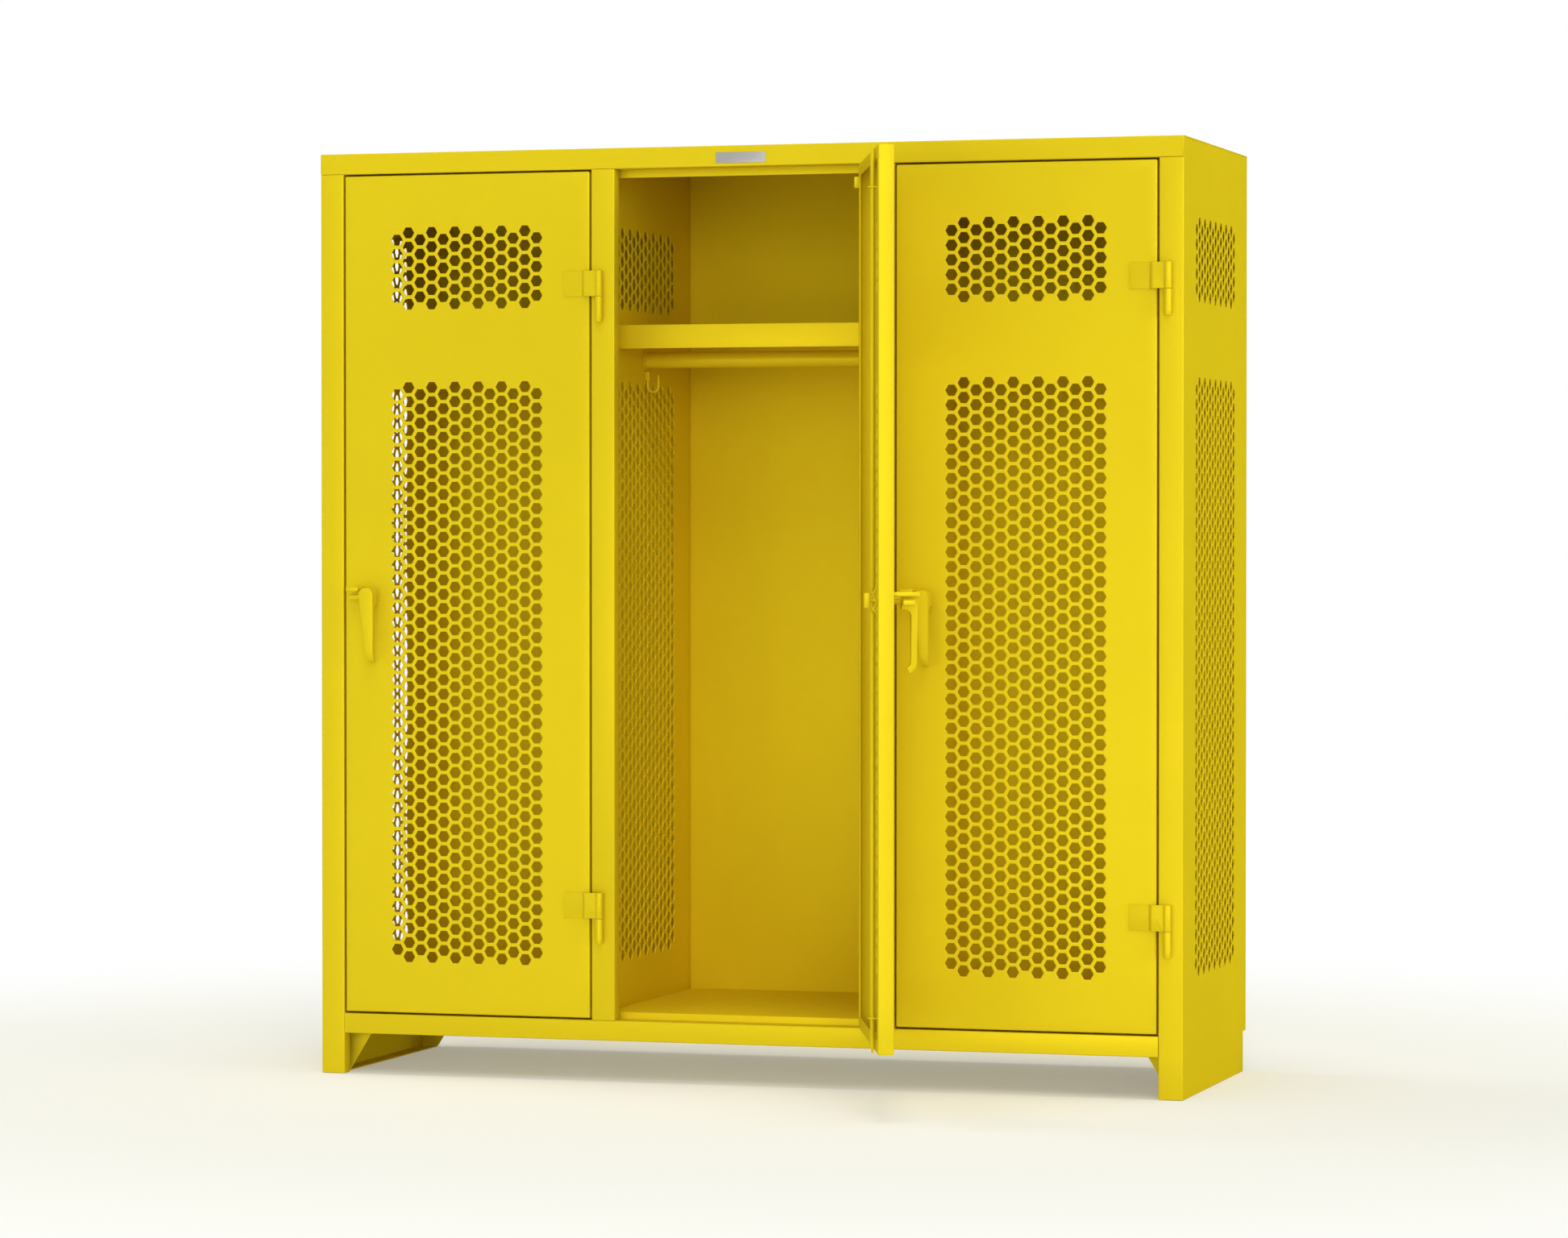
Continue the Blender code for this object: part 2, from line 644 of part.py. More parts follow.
def lever_handle():
    """Lever with its hasp tab and spindle, hanging down; the spindle's axis is the Y axis."""
    half = LEVER_WIDTH / 2
    inner = LEVER_FACE - LEVER_GRIP
    fillet_centre = (-inner + LEVER_FILLET, -LEVER_ARM_DROP - LEVER_FILLET)
    curl_centre = (-inner + LEVER_CURL, LEVER_CURL + LEVER_GRIP - LEVER_DROP)
    section = [(-LEVER_ARM_START, half), (LEVER_GRIP / 2 - LEVER_FACE, half)]
    brow = (LEVER_GRIP / 2 - LEVER_FACE, half - LEVER_GRIP / 2)
    section += arc(brow, LEVER_GRIP / 2, 90, 180, FILLET_STEPS)[1:]
    section += arc(curl_centre, LEVER_CURL + LEVER_GRIP, 180, LEVER_CURL_END, FILLET_STEPS)
    section += arc(curl_centre, LEVER_CURL, LEVER_CURL_END, 180, FILLET_STEPS)
    section += arc(fillet_centre, LEVER_FILLET, 180, 90, FILLET_STEPS)
    section += [(-LEVER_ARM_START, -LEVER_ARM_DROP)]
    side_shape = outline_solid([section], LEVER_WIDTH + OVERRUN, SECTION)
    low = -LEVER_DROP - OVERRUN
    silhouette = arc((0, 0), half, 0, 180, ROUND_SIDES // 2) + [(half - LEVER_TIP_WIDTH, low), (half, low)]
    front_shape = outline_solid([silhouette], 2 * (LEVER_FACE + OVERRUN), FRONT)
    lever = combined(side_shape, front_shape, "INTERSECT")

    tab_span = (-LEVER_ARM_START - TAB_DEPTH, -LEVER_ARM_START)
    tab_top = HASP_HEIGHT - TAB_DROP
    tab = boxes(((-TAB_REACH, 0), tab_span, (tab_top - TAB_THICKNESS, tab_top)))
    tab = combined(tab, padlock_bore(), "DIFFERENCE")
    spindle = cylinder(SPINDLE_RADIUS, Vector((0, -inner, 0)), Vector((0, CAM_SETBACK, 0)))
    lever = combined(lever, tab, "UNION")
    return combined(lever, spindle, "UNION")


def latch_cam():
    """Bar on the spindle's inner end, its long way upright."""
    half = CAM_WIDTH / 2
    top = arc((0, CAM_REACH), half, 0, 180, ROUND_SIDES // 2)
    bottom = arc((0, -CAM_REACH), half, 180, 360, ROUND_SIDES // 2)
    bar = outline_solid([top + bottom], CAM_THICKNESS, FRONT)
    bar.transform(Matrix.Translation((0, CAM_SETBACK + FIT + CAM_THICKNESS / 2, 0)))
    return bar


def lock_rod(reach):
    """Round rod with a pointed tip; it runs from near the spindle's level to z = reach."""
    way = math.copysign(1, reach)
    heights = (way * LOCK_ROD_END, reach - way * LOCK_ROD_POINT, reach)
    return tube([(0, 0, z) for z in heights], LOCK_ROD_RADIUS, LOCK_ROD_TIP_SHARE)


def rod_guide():
    """Strap on the door's inner face with a hole for the rod, whose axis is the Z axis."""
    root = SHEET + FIT - LOCK_ROD_SETBACK
    half = GUIDE_WIDTH / 2
    rise = GUIDE_THICKNESS / 2
    block = boxes(((-half, half), (root, half), (-rise, rise)))
    low = Vector((0, 0, -rise - OVERRUN))
    hole = cylinder(LOCK_ROD_RADIUS + GUIDE_CLEARANCE, low, -low)
    return combined(block, hole, "DIFFERENCE")


class Assembly:
    """Places meshes as named objects under a few empties."""

    def __init__(self, name):
        self.collection = bpy.data.collections.new(name)
        bpy.context.scene.collection.children.link(self.collection)

    def empty(self, name, location, parent=None, angle=0.0):
        """Add an empty, turned about Z by an angle in degrees."""
        obj = bpy.data.objects.new(name, None)
        obj.location = location
        obj.rotation_euler = (0, 0, math.radians(angle))
        obj.parent = parent
        self.collection.objects.link(obj)
        return obj

    def place(self, name, mesh, material, parent, location=(0, 0, 0)):
        """Add one named piece."""
        obj = bpy.data.objects.new(name, mesh)
        if not mesh.materials:
            mesh.materials.append(material)
        obj.parent = parent
        obj.location = location
        self.collection.objects.link(obj)
        return obj


def post_centre(number):
    """Return the X of a front post's centre line, counted from the left."""
    return POST_WIDTH / 2 - SIDE + number * BAY_PITCH


def hinge_x(bay):
    """Return the x of a bay's hinge axis."""
    return post_centre(bay + 1) - HINGE_SHIFT


def bay_span(bay):
    """Return the clear span between a bay's walls, less the fit at both."""
    left = SHEET - SIDE if bay == 0 else post_centre(bay) - DIVIDER_OFFSET + HALF_SHEET
    right = SIDE - SHEET if bay == BAYS - 1 else post_centre(bay + 1) - DIVIDER_OFFSET - HALF_SHEET
    return left + FIT, right - FIT


def build_body(assembly, frame, paints):
    """Add the welded body with its shelves, coat rods, hooks and gussets."""
    panel = side_panel()
    brace = gusset()
    braces = {"left": brace, "right": mirrored(brace)}
    assembly.place("left_side_panel", panel, paints["body"], frame)
    assembly.place("right_side_panel", mirrored(panel), paints["body"], frame)
    gusset_places = {"front": GUSSET_SETBACK, "rear": LEG_DEPTH - SHEET}
    for end, place_y in gusset_places.items():
        for side, mesh in braces.items():
            assembly.place(f"{end}_{side}_gusset", mesh, paints["body"], frame, (0, place_y, 0))
    for number, side in enumerate(("left", "right"), start=1):
        centre = post_centre(number)
        assembly.place(f"{side}_divider", divider(centre), paints["inside"], frame)
        assembly.place(f"{side}_divider_post", divider_post(centre), paints["body"], frame)
    assembly.place("top_panel", top_panel(), paints["body"], frame)
    assembly.place("header_stop", header_stop(), paints["body"], frame)
    assembly.place("bottom_rail", bottom_rail(), paints["body"], frame)
    assembly.place("floor_pan", floor_pan(), paints["inside"], frame)
    assembly.place("back_panel", back_panel(), paints["inside"], frame)
    hook = coat_hook()
    for bay, bay_name in enumerate(BAY_NAMES):
        low, high = bay_span(bay)
        assembly.place(f"{bay_name}_shelf", shelf((low, high)), paints["inside"], frame)
        middle = ((low + high) / 2, ROD_Y, ROD_Z)
        assembly.place(f"{bay_name}_coat_rod", coat_rod(high - low), paints["inside"], frame, middle)
        assembly.place(f"{bay_name}_coat_hook", hook, paints["hardware"], frame, (low, ROD_Y, HOOK_TOP))


def build_doors(assembly, frame, paints):
    """Add the three doors with their hinges and latches."""
    pan = door_pan()
    pin_half = frame_knuckle()
    leaf_half = door_knuckle()
    lever = lever_handle()
    cam = latch_cam()
    plate = hasp_plate()
    guide = rod_guide()
    rods = {
        "upper": lock_rod(DOOR_TOP + LOCK_ROD_REACH - SPINDLE_HEIGHT),
        "lower": lock_rod(DOOR_BOTTOM - LOCK_ROD_REACH - SPINDLE_HEIGHT),
    }
    spindle = (SPINDLE_X, AXIS_SETBACK, SPINDLE_HEIGHT)
    rod_y = AXIS_SETBACK + LOCK_ROD_SETBACK
    for bay, bay_name in enumerate(BAY_NAMES):
        axis_place = (hinge_x(bay), -AXIS_SETBACK, 0)
        axis = assembly.empty(f"{bay_name}_hinge_axis", axis_place, frame, BAY_ANGLES[bay])
        assembly.place(f"{bay_name}_door", pan, paints["door"], axis)
        for level, height in zip(("lower", "upper"), HINGE_HEIGHTS):
            hinge = f"{bay_name}_{level}_hinge"
            knuckle_place = (axis_place[0], axis_place[1], height)
            assembly.place(f"{hinge}_pin", pin_half, paints["hardware"], frame, knuckle_place)
            assembly.place(f"{hinge}_leaf", leaf_half, paints["hardware"], axis, (0, 0, height))
        assembly.place(f"{bay_name}_hasp_plate", plate, paints["hardware"], axis, spindle)
        for level, height in zip(("lower", "upper"), GUIDE_HEIGHTS):
            guide_place = (SPINDLE_X, rod_y, height)
            assembly.place(f"{bay_name}_{level}_rod_guide", guide, paints["hardware"], axis, guide_place)
        spindle_axis = assembly.empty(f"{bay_name}_spindle_axis", spindle, axis)
        assembly.place(f"{bay_name}_handle", lever, paints["hardware"], spindle_axis)
        assembly.place(f"{bay_name}_latch_cam", cam, paints["hardware"], spindle_axis)
        for level, mesh in rods.items():
            rod_place = (SPINDLE_X, rod_y, SPINDLE_HEIGHT)
            assembly.place(f"{bay_name}_{level}_lock_rod", mesh, paints["hardware"], axis, rod_place)


def main():
    """Build the whole locker."""
    clear_scene()
    paints = {
        "body": paint("yellow_powder_coat", (0.77, 0.60, 0.02), 0.32),
        "door": paint("yellow_door_coat", (0.80, 0.62, 0.02), 0.32),
        "inside": paint("yellow_inside_coat", (0.70, 0.52, 0.02), 0.36),
        "hardware": paint("yellow_hardware_coat", (0.79, 0.60, 0.02), 0.34),
    }
    assembly = Assembly("ventilated_locker")
    frame = assembly.empty("front_face_centre", (0, FRONT_FACE_Y, 0))
    build_body(assembly, frame, paints)
    build_doors(assembly, frame, paints)


if __name__ == "__main__":
    main()
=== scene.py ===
"""Looks of a ventilated single-tier locker with three bays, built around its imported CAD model.

Metres, +Z up. Every sub-assembly models its pieces with y counted from the front faces, or from a
door's hinge axis, and seats them in the row frame at the end.
"""

from __future__ import annotations

import logging
import math
from collections.abc import Callable, Iterator, Sequence
from contextlib import contextmanager
from dataclasses import dataclass, field
from enum import Enum
from functools import cached_property

import bmesh
import bpy
from mathutils import Matrix, Vector

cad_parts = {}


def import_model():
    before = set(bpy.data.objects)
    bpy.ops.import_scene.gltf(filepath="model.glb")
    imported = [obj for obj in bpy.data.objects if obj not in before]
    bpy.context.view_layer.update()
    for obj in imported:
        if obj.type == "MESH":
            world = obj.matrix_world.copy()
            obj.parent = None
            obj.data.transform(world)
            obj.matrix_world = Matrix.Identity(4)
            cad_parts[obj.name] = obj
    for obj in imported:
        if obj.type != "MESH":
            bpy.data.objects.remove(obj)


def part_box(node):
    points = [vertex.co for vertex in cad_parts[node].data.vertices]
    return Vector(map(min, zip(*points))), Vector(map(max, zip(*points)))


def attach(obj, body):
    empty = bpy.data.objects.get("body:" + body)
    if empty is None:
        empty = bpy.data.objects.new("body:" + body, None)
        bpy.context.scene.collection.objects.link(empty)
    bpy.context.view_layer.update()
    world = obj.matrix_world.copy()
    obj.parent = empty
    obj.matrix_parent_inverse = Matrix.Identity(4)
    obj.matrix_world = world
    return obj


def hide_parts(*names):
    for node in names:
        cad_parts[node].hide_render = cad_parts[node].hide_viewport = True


LOG = logging.getLogger("locker")
Point = tuple[float, float]
Span = tuple[float, float]
Element = bmesh.types.BMVert | bmesh.types.BMEdge | bmesh.types.BMFace

# A shape drawn with its span along X and its line across Y and Z, turned so that it stands along Z
UPRIGHT = Matrix(((0, 1, 0, 0), (0, 0, 1, 0), (1, 0, 0, 0), (0, 0, 0, 1)))
# Places closer than this are the same
NEAR = 1e-5
# How far a cutting tool reaches past what it cuts
PAST = 0.01
# How deep a part is sunk into the one that it is united with
ROOT = 0.002
# Where an open sheet bends by more than this, it has a fold
FOLD_ANGLE = math.radians(20)


class Elements(Enum):
    """What edit mode selects."""

    VERTS = "VERT"
    EDGES = "EDGE"
    FACES = "FACE"


class Axis(Enum):
    """The axes, by their place in a vector."""

    X = 0
    Y = 1
    Z = 2


class Merge(Enum):
    """What a tool does to a solid."""

    UNION = "UNION"
    DIFFERENCE = "DIFFERENCE"
    INTERSECT = "INTERSECT"


class Slot(Enum):
    """The material slots, which are also the names of their finishes."""

    BODY = "body"
    DOOR = "door"
    INSIDE = "inside"
    HARDWARE = "hardware"


class Side(Enum):
    """The locker's sides, each with its way along X."""

    LEFT = -1
    RIGHT = 1

    @property
    def label(self) -> str:
        """Return the side's name as the CAD nodes spell it."""
        return self.name.lower()


class Bay(Enum):
    """The three bays, each with its place from the left and its door's angle at rest in degrees."""

    LEFT = (0, 0.0)
    MIDDLE = (1, 110.0)
    RIGHT = (2, 0.0)

    @property
    def label(self) -> str:
        """Return the bay's name as the CAD nodes spell it."""
        return self.name.lower()

    @property
    def number(self) -> int:
        """Return the bay's place from the left."""
        return self.value[0]

    @property
    def turn(self) -> float:
        """Return how far the bay's door stands open at rest, in radians."""
        return math.radians(self.value[1])


# Modelling by hand


def choose(*pieces: bpy.types.Object) -> None:
    """Select these objects alone and make the first one active.

    Args:
        pieces: The objects to select.
    """
    bpy.ops.object.select_all(action="DESELECT")
    for piece in pieces:
        piece.select_set(True)
    bpy.context.view_layer.objects.active = pieces[0]


def adopt(name: str) -> bpy.types.Object:
    """Name the newest primitive and put its place into its mesh.

    Args:
        name: The piece's name.

    Returns:
        The object, at the origin.
    """
    piece = bpy.context.active_object
    piece.name = name
    piece.data.name = name
    choose(piece)
    bpy.ops.object.transform_apply(location=True, rotation=True, scale=True)
    return piece


@contextmanager
def editing(piece: bpy.types.Object) -> Iterator[None]:
    """Hold a piece in edit mode.

    Args:
        piece: The piece to edit.

    Yields:
        Nothing.
    """
    choose(piece)
    bpy.ops.object.mode_set(mode="EDIT")
    yield
    bpy.ops.object.mode_set(mode="OBJECT")


def pick(piece: bpy.types.Object, elements: Elements, test: Callable[[Element], bool]) -> None:
    """Select in edit mode what passes a test, and nothing else.

    Args:
        piece: The piece in edit mode.
        elements: Whether to look at vertices, edges or faces.
        test: Says whether an element is wanted.
    """
    bpy.ops.mesh.select_mode(type=elements.value)
    bpy.ops.mesh.select_all(action="DESELECT")
    shape = bmesh.from_edit_mesh(piece.data)
    for element in getattr(shape, elements.name.lower()):
        if test(element):
            element.select_set(True)
    shape.select_flush_mode()
    bmesh.update_edit_mesh(piece.data)


def middle_of(edge: bmesh.types.BMEdge) -> Vector:
    """Return an edge's middle."""
    return (edge.verts[0].co + edge.verts[1].co) / 2


def push(step: Sequence[float]) -> None:
    """Extrude what is selected along a step."""
    bpy.ops.mesh.extrude_region_move(TRANSFORM_OT_translate={"value": tuple(step)})


def push_edges(piece: bpy.types.Object, axis: Axis, level: float, step: Sequence[float]) -> None:
    """Extrude the open edges that lie on a level of one axis.

    Args:
        piece: The piece in edit mode.
        axis: The axis.
        level: Where the edges lie along it.
        step: The extrusion.
    """

    def on_level(edge: bmesh.types.BMEdge) -> bool:
        """Return whether an edge is open and lies on the level."""
        return edge.is_boundary and all(abs(vert.co[axis.value] - level) < NEAR for vert in edge.verts)

    pick(piece, Elements.EDGES, on_level)
    push(step)


def run_out(piece: bpy.types.Object, axis: Axis, reach: Span, level: float) -> None:
    """Extrude an open, uneven rim until it is straight.

    Args:
        piece: The piece in edit mode.
        axis: The axis along which the rim moves.
        reach: The rim's span along that axis.
        level: Where the rim ends.
    """
    low, high = reach[0] - NEAR, reach[1] + NEAR

    def on_rim(edge: bmesh.types.BMEdge) -> bool:
        """Return whether an edge is open and lies within the rim's span."""
        return edge.is_boundary and all(low < vert.co[axis.value] < high for vert in edge.verts)

    pick(piece, Elements.EDGES, on_rim)
    push((0, 0, 0))
    flat = [1.0, 1.0, 1.0]
    flat[axis.value] = 0.0
    bpy.ops.transform.resize(value=flat, center_override=(level, level, level))


def cut(axis: Axis, level: float) -> None:
    """Cut all faces of the piece in edit mode along a plane across one axis.

    Args:
        axis: The axis.
        level: Where the plane lies along it.
    """
    place, normal = Vector(), Vector()
    place[axis.value] = level
    normal[axis.value] = 1.0
    bpy.ops.mesh.select_all(action="SELECT")
    bpy.ops.mesh.bisect(plane_co=place, plane_no=normal)


def remove_faces(piece: bpy.types.Object, test: Callable[[Vector], bool]) -> None:
    """Delete the faces whose middle passes a test.

    Args:
        piece: The piece in edit mode.
        test: Says whether a face with this middle goes.
    """
    pick(piece, Elements.FACES, lambda face: test(face.calc_center_median()))
    bpy.ops.mesh.delete(type="FACE")


def round_folds(piece: bpy.types.Object, radius: float, steps: int = 4) -> None:
    """Round the fold lines of an open sheet.

    Args:
        piece: The piece in object mode.
        radius: The bend's radius.
        steps: How many facets a bend gets.
    """
    with editing(piece):
        pick(piece, Elements.EDGES, lambda edge: edge.is_manifold and edge.calc_face_angle() > FOLD_ANGLE)
        bpy.ops.mesh.bevel(offset=radius, segments=steps, affect="EDGES")


def modify(piece: bpy.types.Object, kind: str, **settings: object) -> None:
    """Add a modifier with its settings and apply it.

    Args:
        piece: The piece.
        kind: The modifier's type.
        settings: The modifier's values.
    """
    modifier = piece.modifiers.new(kind.title(), kind)
    for name, value in settings.items():
        setattr(modifier, name, value)
    choose(piece)
    bpy.ops.object.modifier_apply(modifier=modifier.name)


def soften(piece: bpy.types.Object, width: float, steps: int = 2, angle: float = 40.0) -> None:
    """Round a finished shape's edges and smooth its shading.

    Args:
        piece: The piece.
        width: The rounding's width.
        steps: How many facets an edge gets.
        angle: The least angle of an edge that is rounded, in degrees.
    """
    modify(
        piece,
        "BEVEL",
        width=width,
        segments=steps,
        limit_method="ANGLE",
        angle_limit=math.radians(angle),
        use_clamp_overlap=True,
    )
    smooth(piece)


def smooth(piece: bpy.types.Object, angle: float = 35.0) -> None:
    """Shade a piece smooth, apart from edges sharper than an angle in degrees."""
    choose(piece)
    bpy.ops.object.shade_smooth_by_angle(angle=math.radians(angle))


def thicken(piece: bpy.types.Object, thickness: float) -> None:
    """Give an open sheet its thickness, half to each side."""
    modify(piece, "SOLIDIFY", thickness=thickness, offset=0.0, use_even_offset=True, use_quality_normals=True)


def finish_strap(
    piece: bpy.types.Object, thickness: float, bend: float = 0.0025, edge: float = 0.0006
) -> None:
    """Round an open strap's bends, give it thickness and soften its edges.

    Args:
        piece: The open strap.
        thickness: Its thickness.
        bend: The radius of its bends.
        edge: The rounding of its edges.
    """
    round_folds(piece, bend)
    thicken(piece, thickness)
    soften(piece, edge, 2, 60)


def joined(name: str, *pieces: bpy.types.Object) -> bpy.types.Object:
    """Join objects into the first one.

    Args:
        name: The name of the result.
        pieces: The objects.

    Returns:
        The joined object.
    """
    choose(*pieces)
    bpy.ops.object.join()
    return adopt(name)


def combine(base: bpy.types.Object, tool: bpy.types.Object, merge: Merge) -> bpy.types.Object:
    """Unite, cut or intersect a solid with a tool, which is used up.

    Args:
        base: The solid that changes.
        tool: The other solid.
        merge: What the tool does.

    Returns:
        The changed solid.
    """
    modify(base, "BOOLEAN", object=tool, operation=merge.value, solver="EXACT")
    bpy.data.objects.remove(tool)
    return base


def turned_by(piece: bpy.types.Object, matrix: Matrix) -> bpy.types.Object:
    """Move a piece's mesh.

    Args:
        piece: The piece.
        matrix: The move.

    Returns:
        The piece.
    """
    piece.matrix_world = matrix @ piece.matrix_world
    choose(piece)
    bpy.ops.object.transform_apply(location=True, rotation=True, scale=True)
    return piece


def copied(piece: bpy.types.Object, name: str) -> bpy.types.Object:
    """Copy a piece together with its mesh.

    Args:
        piece: The piece to copy.
        name: The copy's name.

    Returns:
        The copy.
    """
    choose(piece)
    bpy.ops.object.duplicate(linked=False)
    return adopt(name)


def block(name: str, across: Span, depth: Span, height: Span, edge: float = 0.0008) -> bpy.types.Object:
    """Model a box with rounded edges.

    Args:
        name: The piece's name.
        across: Its span along X.
        depth: Its span along Y.
        height: Its span along Z.
        edge: The rounding of its edges.

    Returns:
        The piece.
    """
    spans = (across, depth, height)
    middle = [(low + high) / 2 for low, high in spans]
    size = [high - low for low, high in spans]
    bpy.ops.mesh.primitive_cube_add(size=1, location=middle, scale=size)
    piece = adopt(name)
    with editing(piece):
        bpy.ops.mesh.select_all(action="SELECT")
        bpy.ops.mesh.bevel(offset=edge, segments=3, affect="EDGES")
    smooth(piece)
    return piece


def bar(
    name: str, radius: float, start: Vector, end: Vector, edge: float = 0.0006, sides: int = 40
) -> bpy.types.Object:
    """Model a round bar between two points, with rounded ends.

    Args:
        name: The piece's name.
        radius: The bar's radius.
        start: The middle of one end.
        end: The middle of the other end.
        edge: The rounding of its ends.
        sides: The count of its facets.

    Returns:
        The piece.
    """
    run = end - start
    turn = run.to_track_quat("Z", "Y").to_euler()
    bpy.ops.mesh.primitive_cylinder_add(
        vertices=sides, radius=radius, depth=run.length, location=(start + end) / 2, rotation=turn
    )
    piece = adopt(name)
    with editing(piece):
        pick(piece, Elements.EDGES, lambda line: any(len(face.verts) == sides for face in line.link_faces))
        bpy.ops.mesh.bevel(offset=edge, segments=4, affect="EDGES")
    smooth(piece)
    return piece


def prism(name: str, outline: Sequence[Point], along: Axis, span: Span) -> bpy.types.Object:
    """Draw a closed outline and extrude it along X or Y.

    Args:
        name: The piece's name.
        outline: The corners in order, each with its y (or x, if extruded along Y) and its z.
        along: The extrusion's axis.
        span: The extrusion's span along that axis.

    Returns:
        The piece.
    """
    low, high = span
    corners = [Vector((low, u, z) if along is Axis.X else (u, low, z)) for u, z in outline]
    bpy.ops.mesh.primitive_plane_add(size=NEAR, location=corners[0])
    piece = adopt(name)
    with editing(piece):
        bpy.ops.mesh.select_mode(type="VERT")
        bpy.ops.mesh.select_all(action="SELECT")
        bpy.ops.mesh.merge(type="CENTER")
        for start, end in zip(corners, corners[1:]):
            push(end - start)
        pick(piece, Elements.VERTS, lambda vert: len(vert.link_edges) < 2)
        bpy.ops.mesh.edge_face_add()
        bpy.ops.mesh.select_all(action="SELECT")
        bpy.ops.mesh.edge_face_add()
        push((high - low, 0, 0) if along is Axis.X else (0, high - low, 0))
        bpy.ops.mesh.select_all(action="SELECT")
        bpy.ops.mesh.normals_make_consistent(inside=False)
    return piece


def folded(name: str, line: Sequence[Point], span: Span) -> bpy.types.Object:
    """Fold an open sheet along a line across Y and Z that runs along X.

    Args:
        name: The piece's name.
        line: The middle of the sheet (y, z), fold by fold.
        span: The sheet's span along X.

    Returns:
        The piece, still without thickness.
    """
    low, high = span
    (y_from, z_from), (y_to, z_to) = line[0], line[1]
    run = (y_to - y_from, z_to - z_from)
    bpy.ops.mesh.primitive_plane_add(
        size=1,
        location=((low + high) / 2, (y_from + y_to) / 2, (z_from + z_to) / 2),
        rotation=(math.atan2(run[1], run[0]), 0, 0),
    )
    bpy.context.active_object.scale = (high - low, math.hypot(*run), 1)
    piece = adopt(name)
    with editing(piece):
        end = Vector((0, y_to, z_to))
        pick(
            piece,
            Elements.EDGES,
            lambda edge: all((Vector((0, *vert.co.yz)) - end).length < NEAR for vert in edge.verts),
        )
        for (y_now, z_now), (y_next, z_next) in zip(line[1:], line[2:]):
            push((0, y_next - y_now, z_next - z_now))
    return piece


def wire(
    name: str, points: Sequence[Vector], radius: float, shares: dict[int, float] | None = None
) -> bpy.types.Object:
    """Run a round wire through points.

    Args:
        name: The piece's name.
        points: The wire's middle line.
        radius: The wire's radius.
        shares: The share of the radius at some points, by their number.

    Returns:
        The piece.
    """
    bpy.ops.curve.primitive_nurbs_path_add()
    run = bpy.context.active_object
    run.data.splines.clear()
    spline = run.data.splines.new("POLY")
    spline.points.add(len(points) - 1)
    for point, place in zip(spline.points, points):
        point.co = (*place, 1)
    for number, share in (shares or {}).items():
        spline.points[number].radius = share
    run.data.bevel_depth = radius
    run.data.bevel_resolution = 6
    run.data.use_fill_caps = True
    choose(run)
    bpy.ops.object.convert(target="MESH")
    piece = adopt(name)
    with editing(piece):
        bpy.ops.mesh.select_all(action="SELECT")
        bpy.ops.mesh.remove_doubles(threshold=NEAR)
        bpy.ops.mesh.normals_make_consistent(inside=False)
    smooth(piece, 50)
    return piece


def arc(centre: Point, radius: float, start: float, end: float, steps: int) -> list[Point]:
    """Return points on an arc.

    Args:
        centre: The arc's centre.
        radius: Its radius.
        start: The first angle in degrees.
        end: The last angle in degrees.
        steps: How many steps lie between.

    Returns:
        The points, from the first angle to the last.
    """
    turns = [math.radians(start + (end - start) * step / steps) for step in range(steps + 1)]
    return [(centre[0] + radius * math.cos(turn), centre[1] + radius * math.sin(turn)) for turn in turns]


# Finishes


def new_group(name: str, inputs: dict[str, float], outputs: dict[str, str]) -> bpy.types.ShaderNodeTree:
    """Start a shader node group with its sockets.

    Args:
        name: The group's name.
        inputs: Its number inputs and their values.
        outputs: Its outputs and their socket types.

    Returns:
        The group.
    """
    group = bpy.data.node_groups.new(name, "ShaderNodeTree")
    for label, value in inputs.items():
        socket = group.interface.new_socket(label, in_out="INPUT", socket_type="NodeSocketFloat")
        socket.default_value = value
    for label, kind in outputs.items():
        group.interface.new_socket(label, in_out="OUTPUT", socket_type=kind)
    return group


def add_node(
    tree: bpy.types.NodeTree, kind: str, sockets: dict[str | int, object] | None = None, **settings: object
) -> bpy.types.Node:
    """Add a node to a material, a world or a group.

    Args:
        tree: The node tree.
        kind: The node's type, less the words ShaderNode.
        sockets: The values of its input sockets.
        settings: Its other settings.

    Returns:
        The node.
    """
    node = tree.nodes.new(f"ShaderNode{kind}")
    for name, value in settings.items():
        setattr(node, name, value)
    for name, value in (sockets or {}).items():
        node.inputs[name].default_value = value
    return node


def connect(tree: bpy.types.NodeTree, *links: tuple[bpy.types.Node, str, bpy.types.Node, str | int]) -> None:
    """Link nodes, each link given as a node, its output, another node and its input."""
    for source, outlet, target, inlet in links:
        tree.links.new(source.outputs[outlet], target.inputs[inlet])


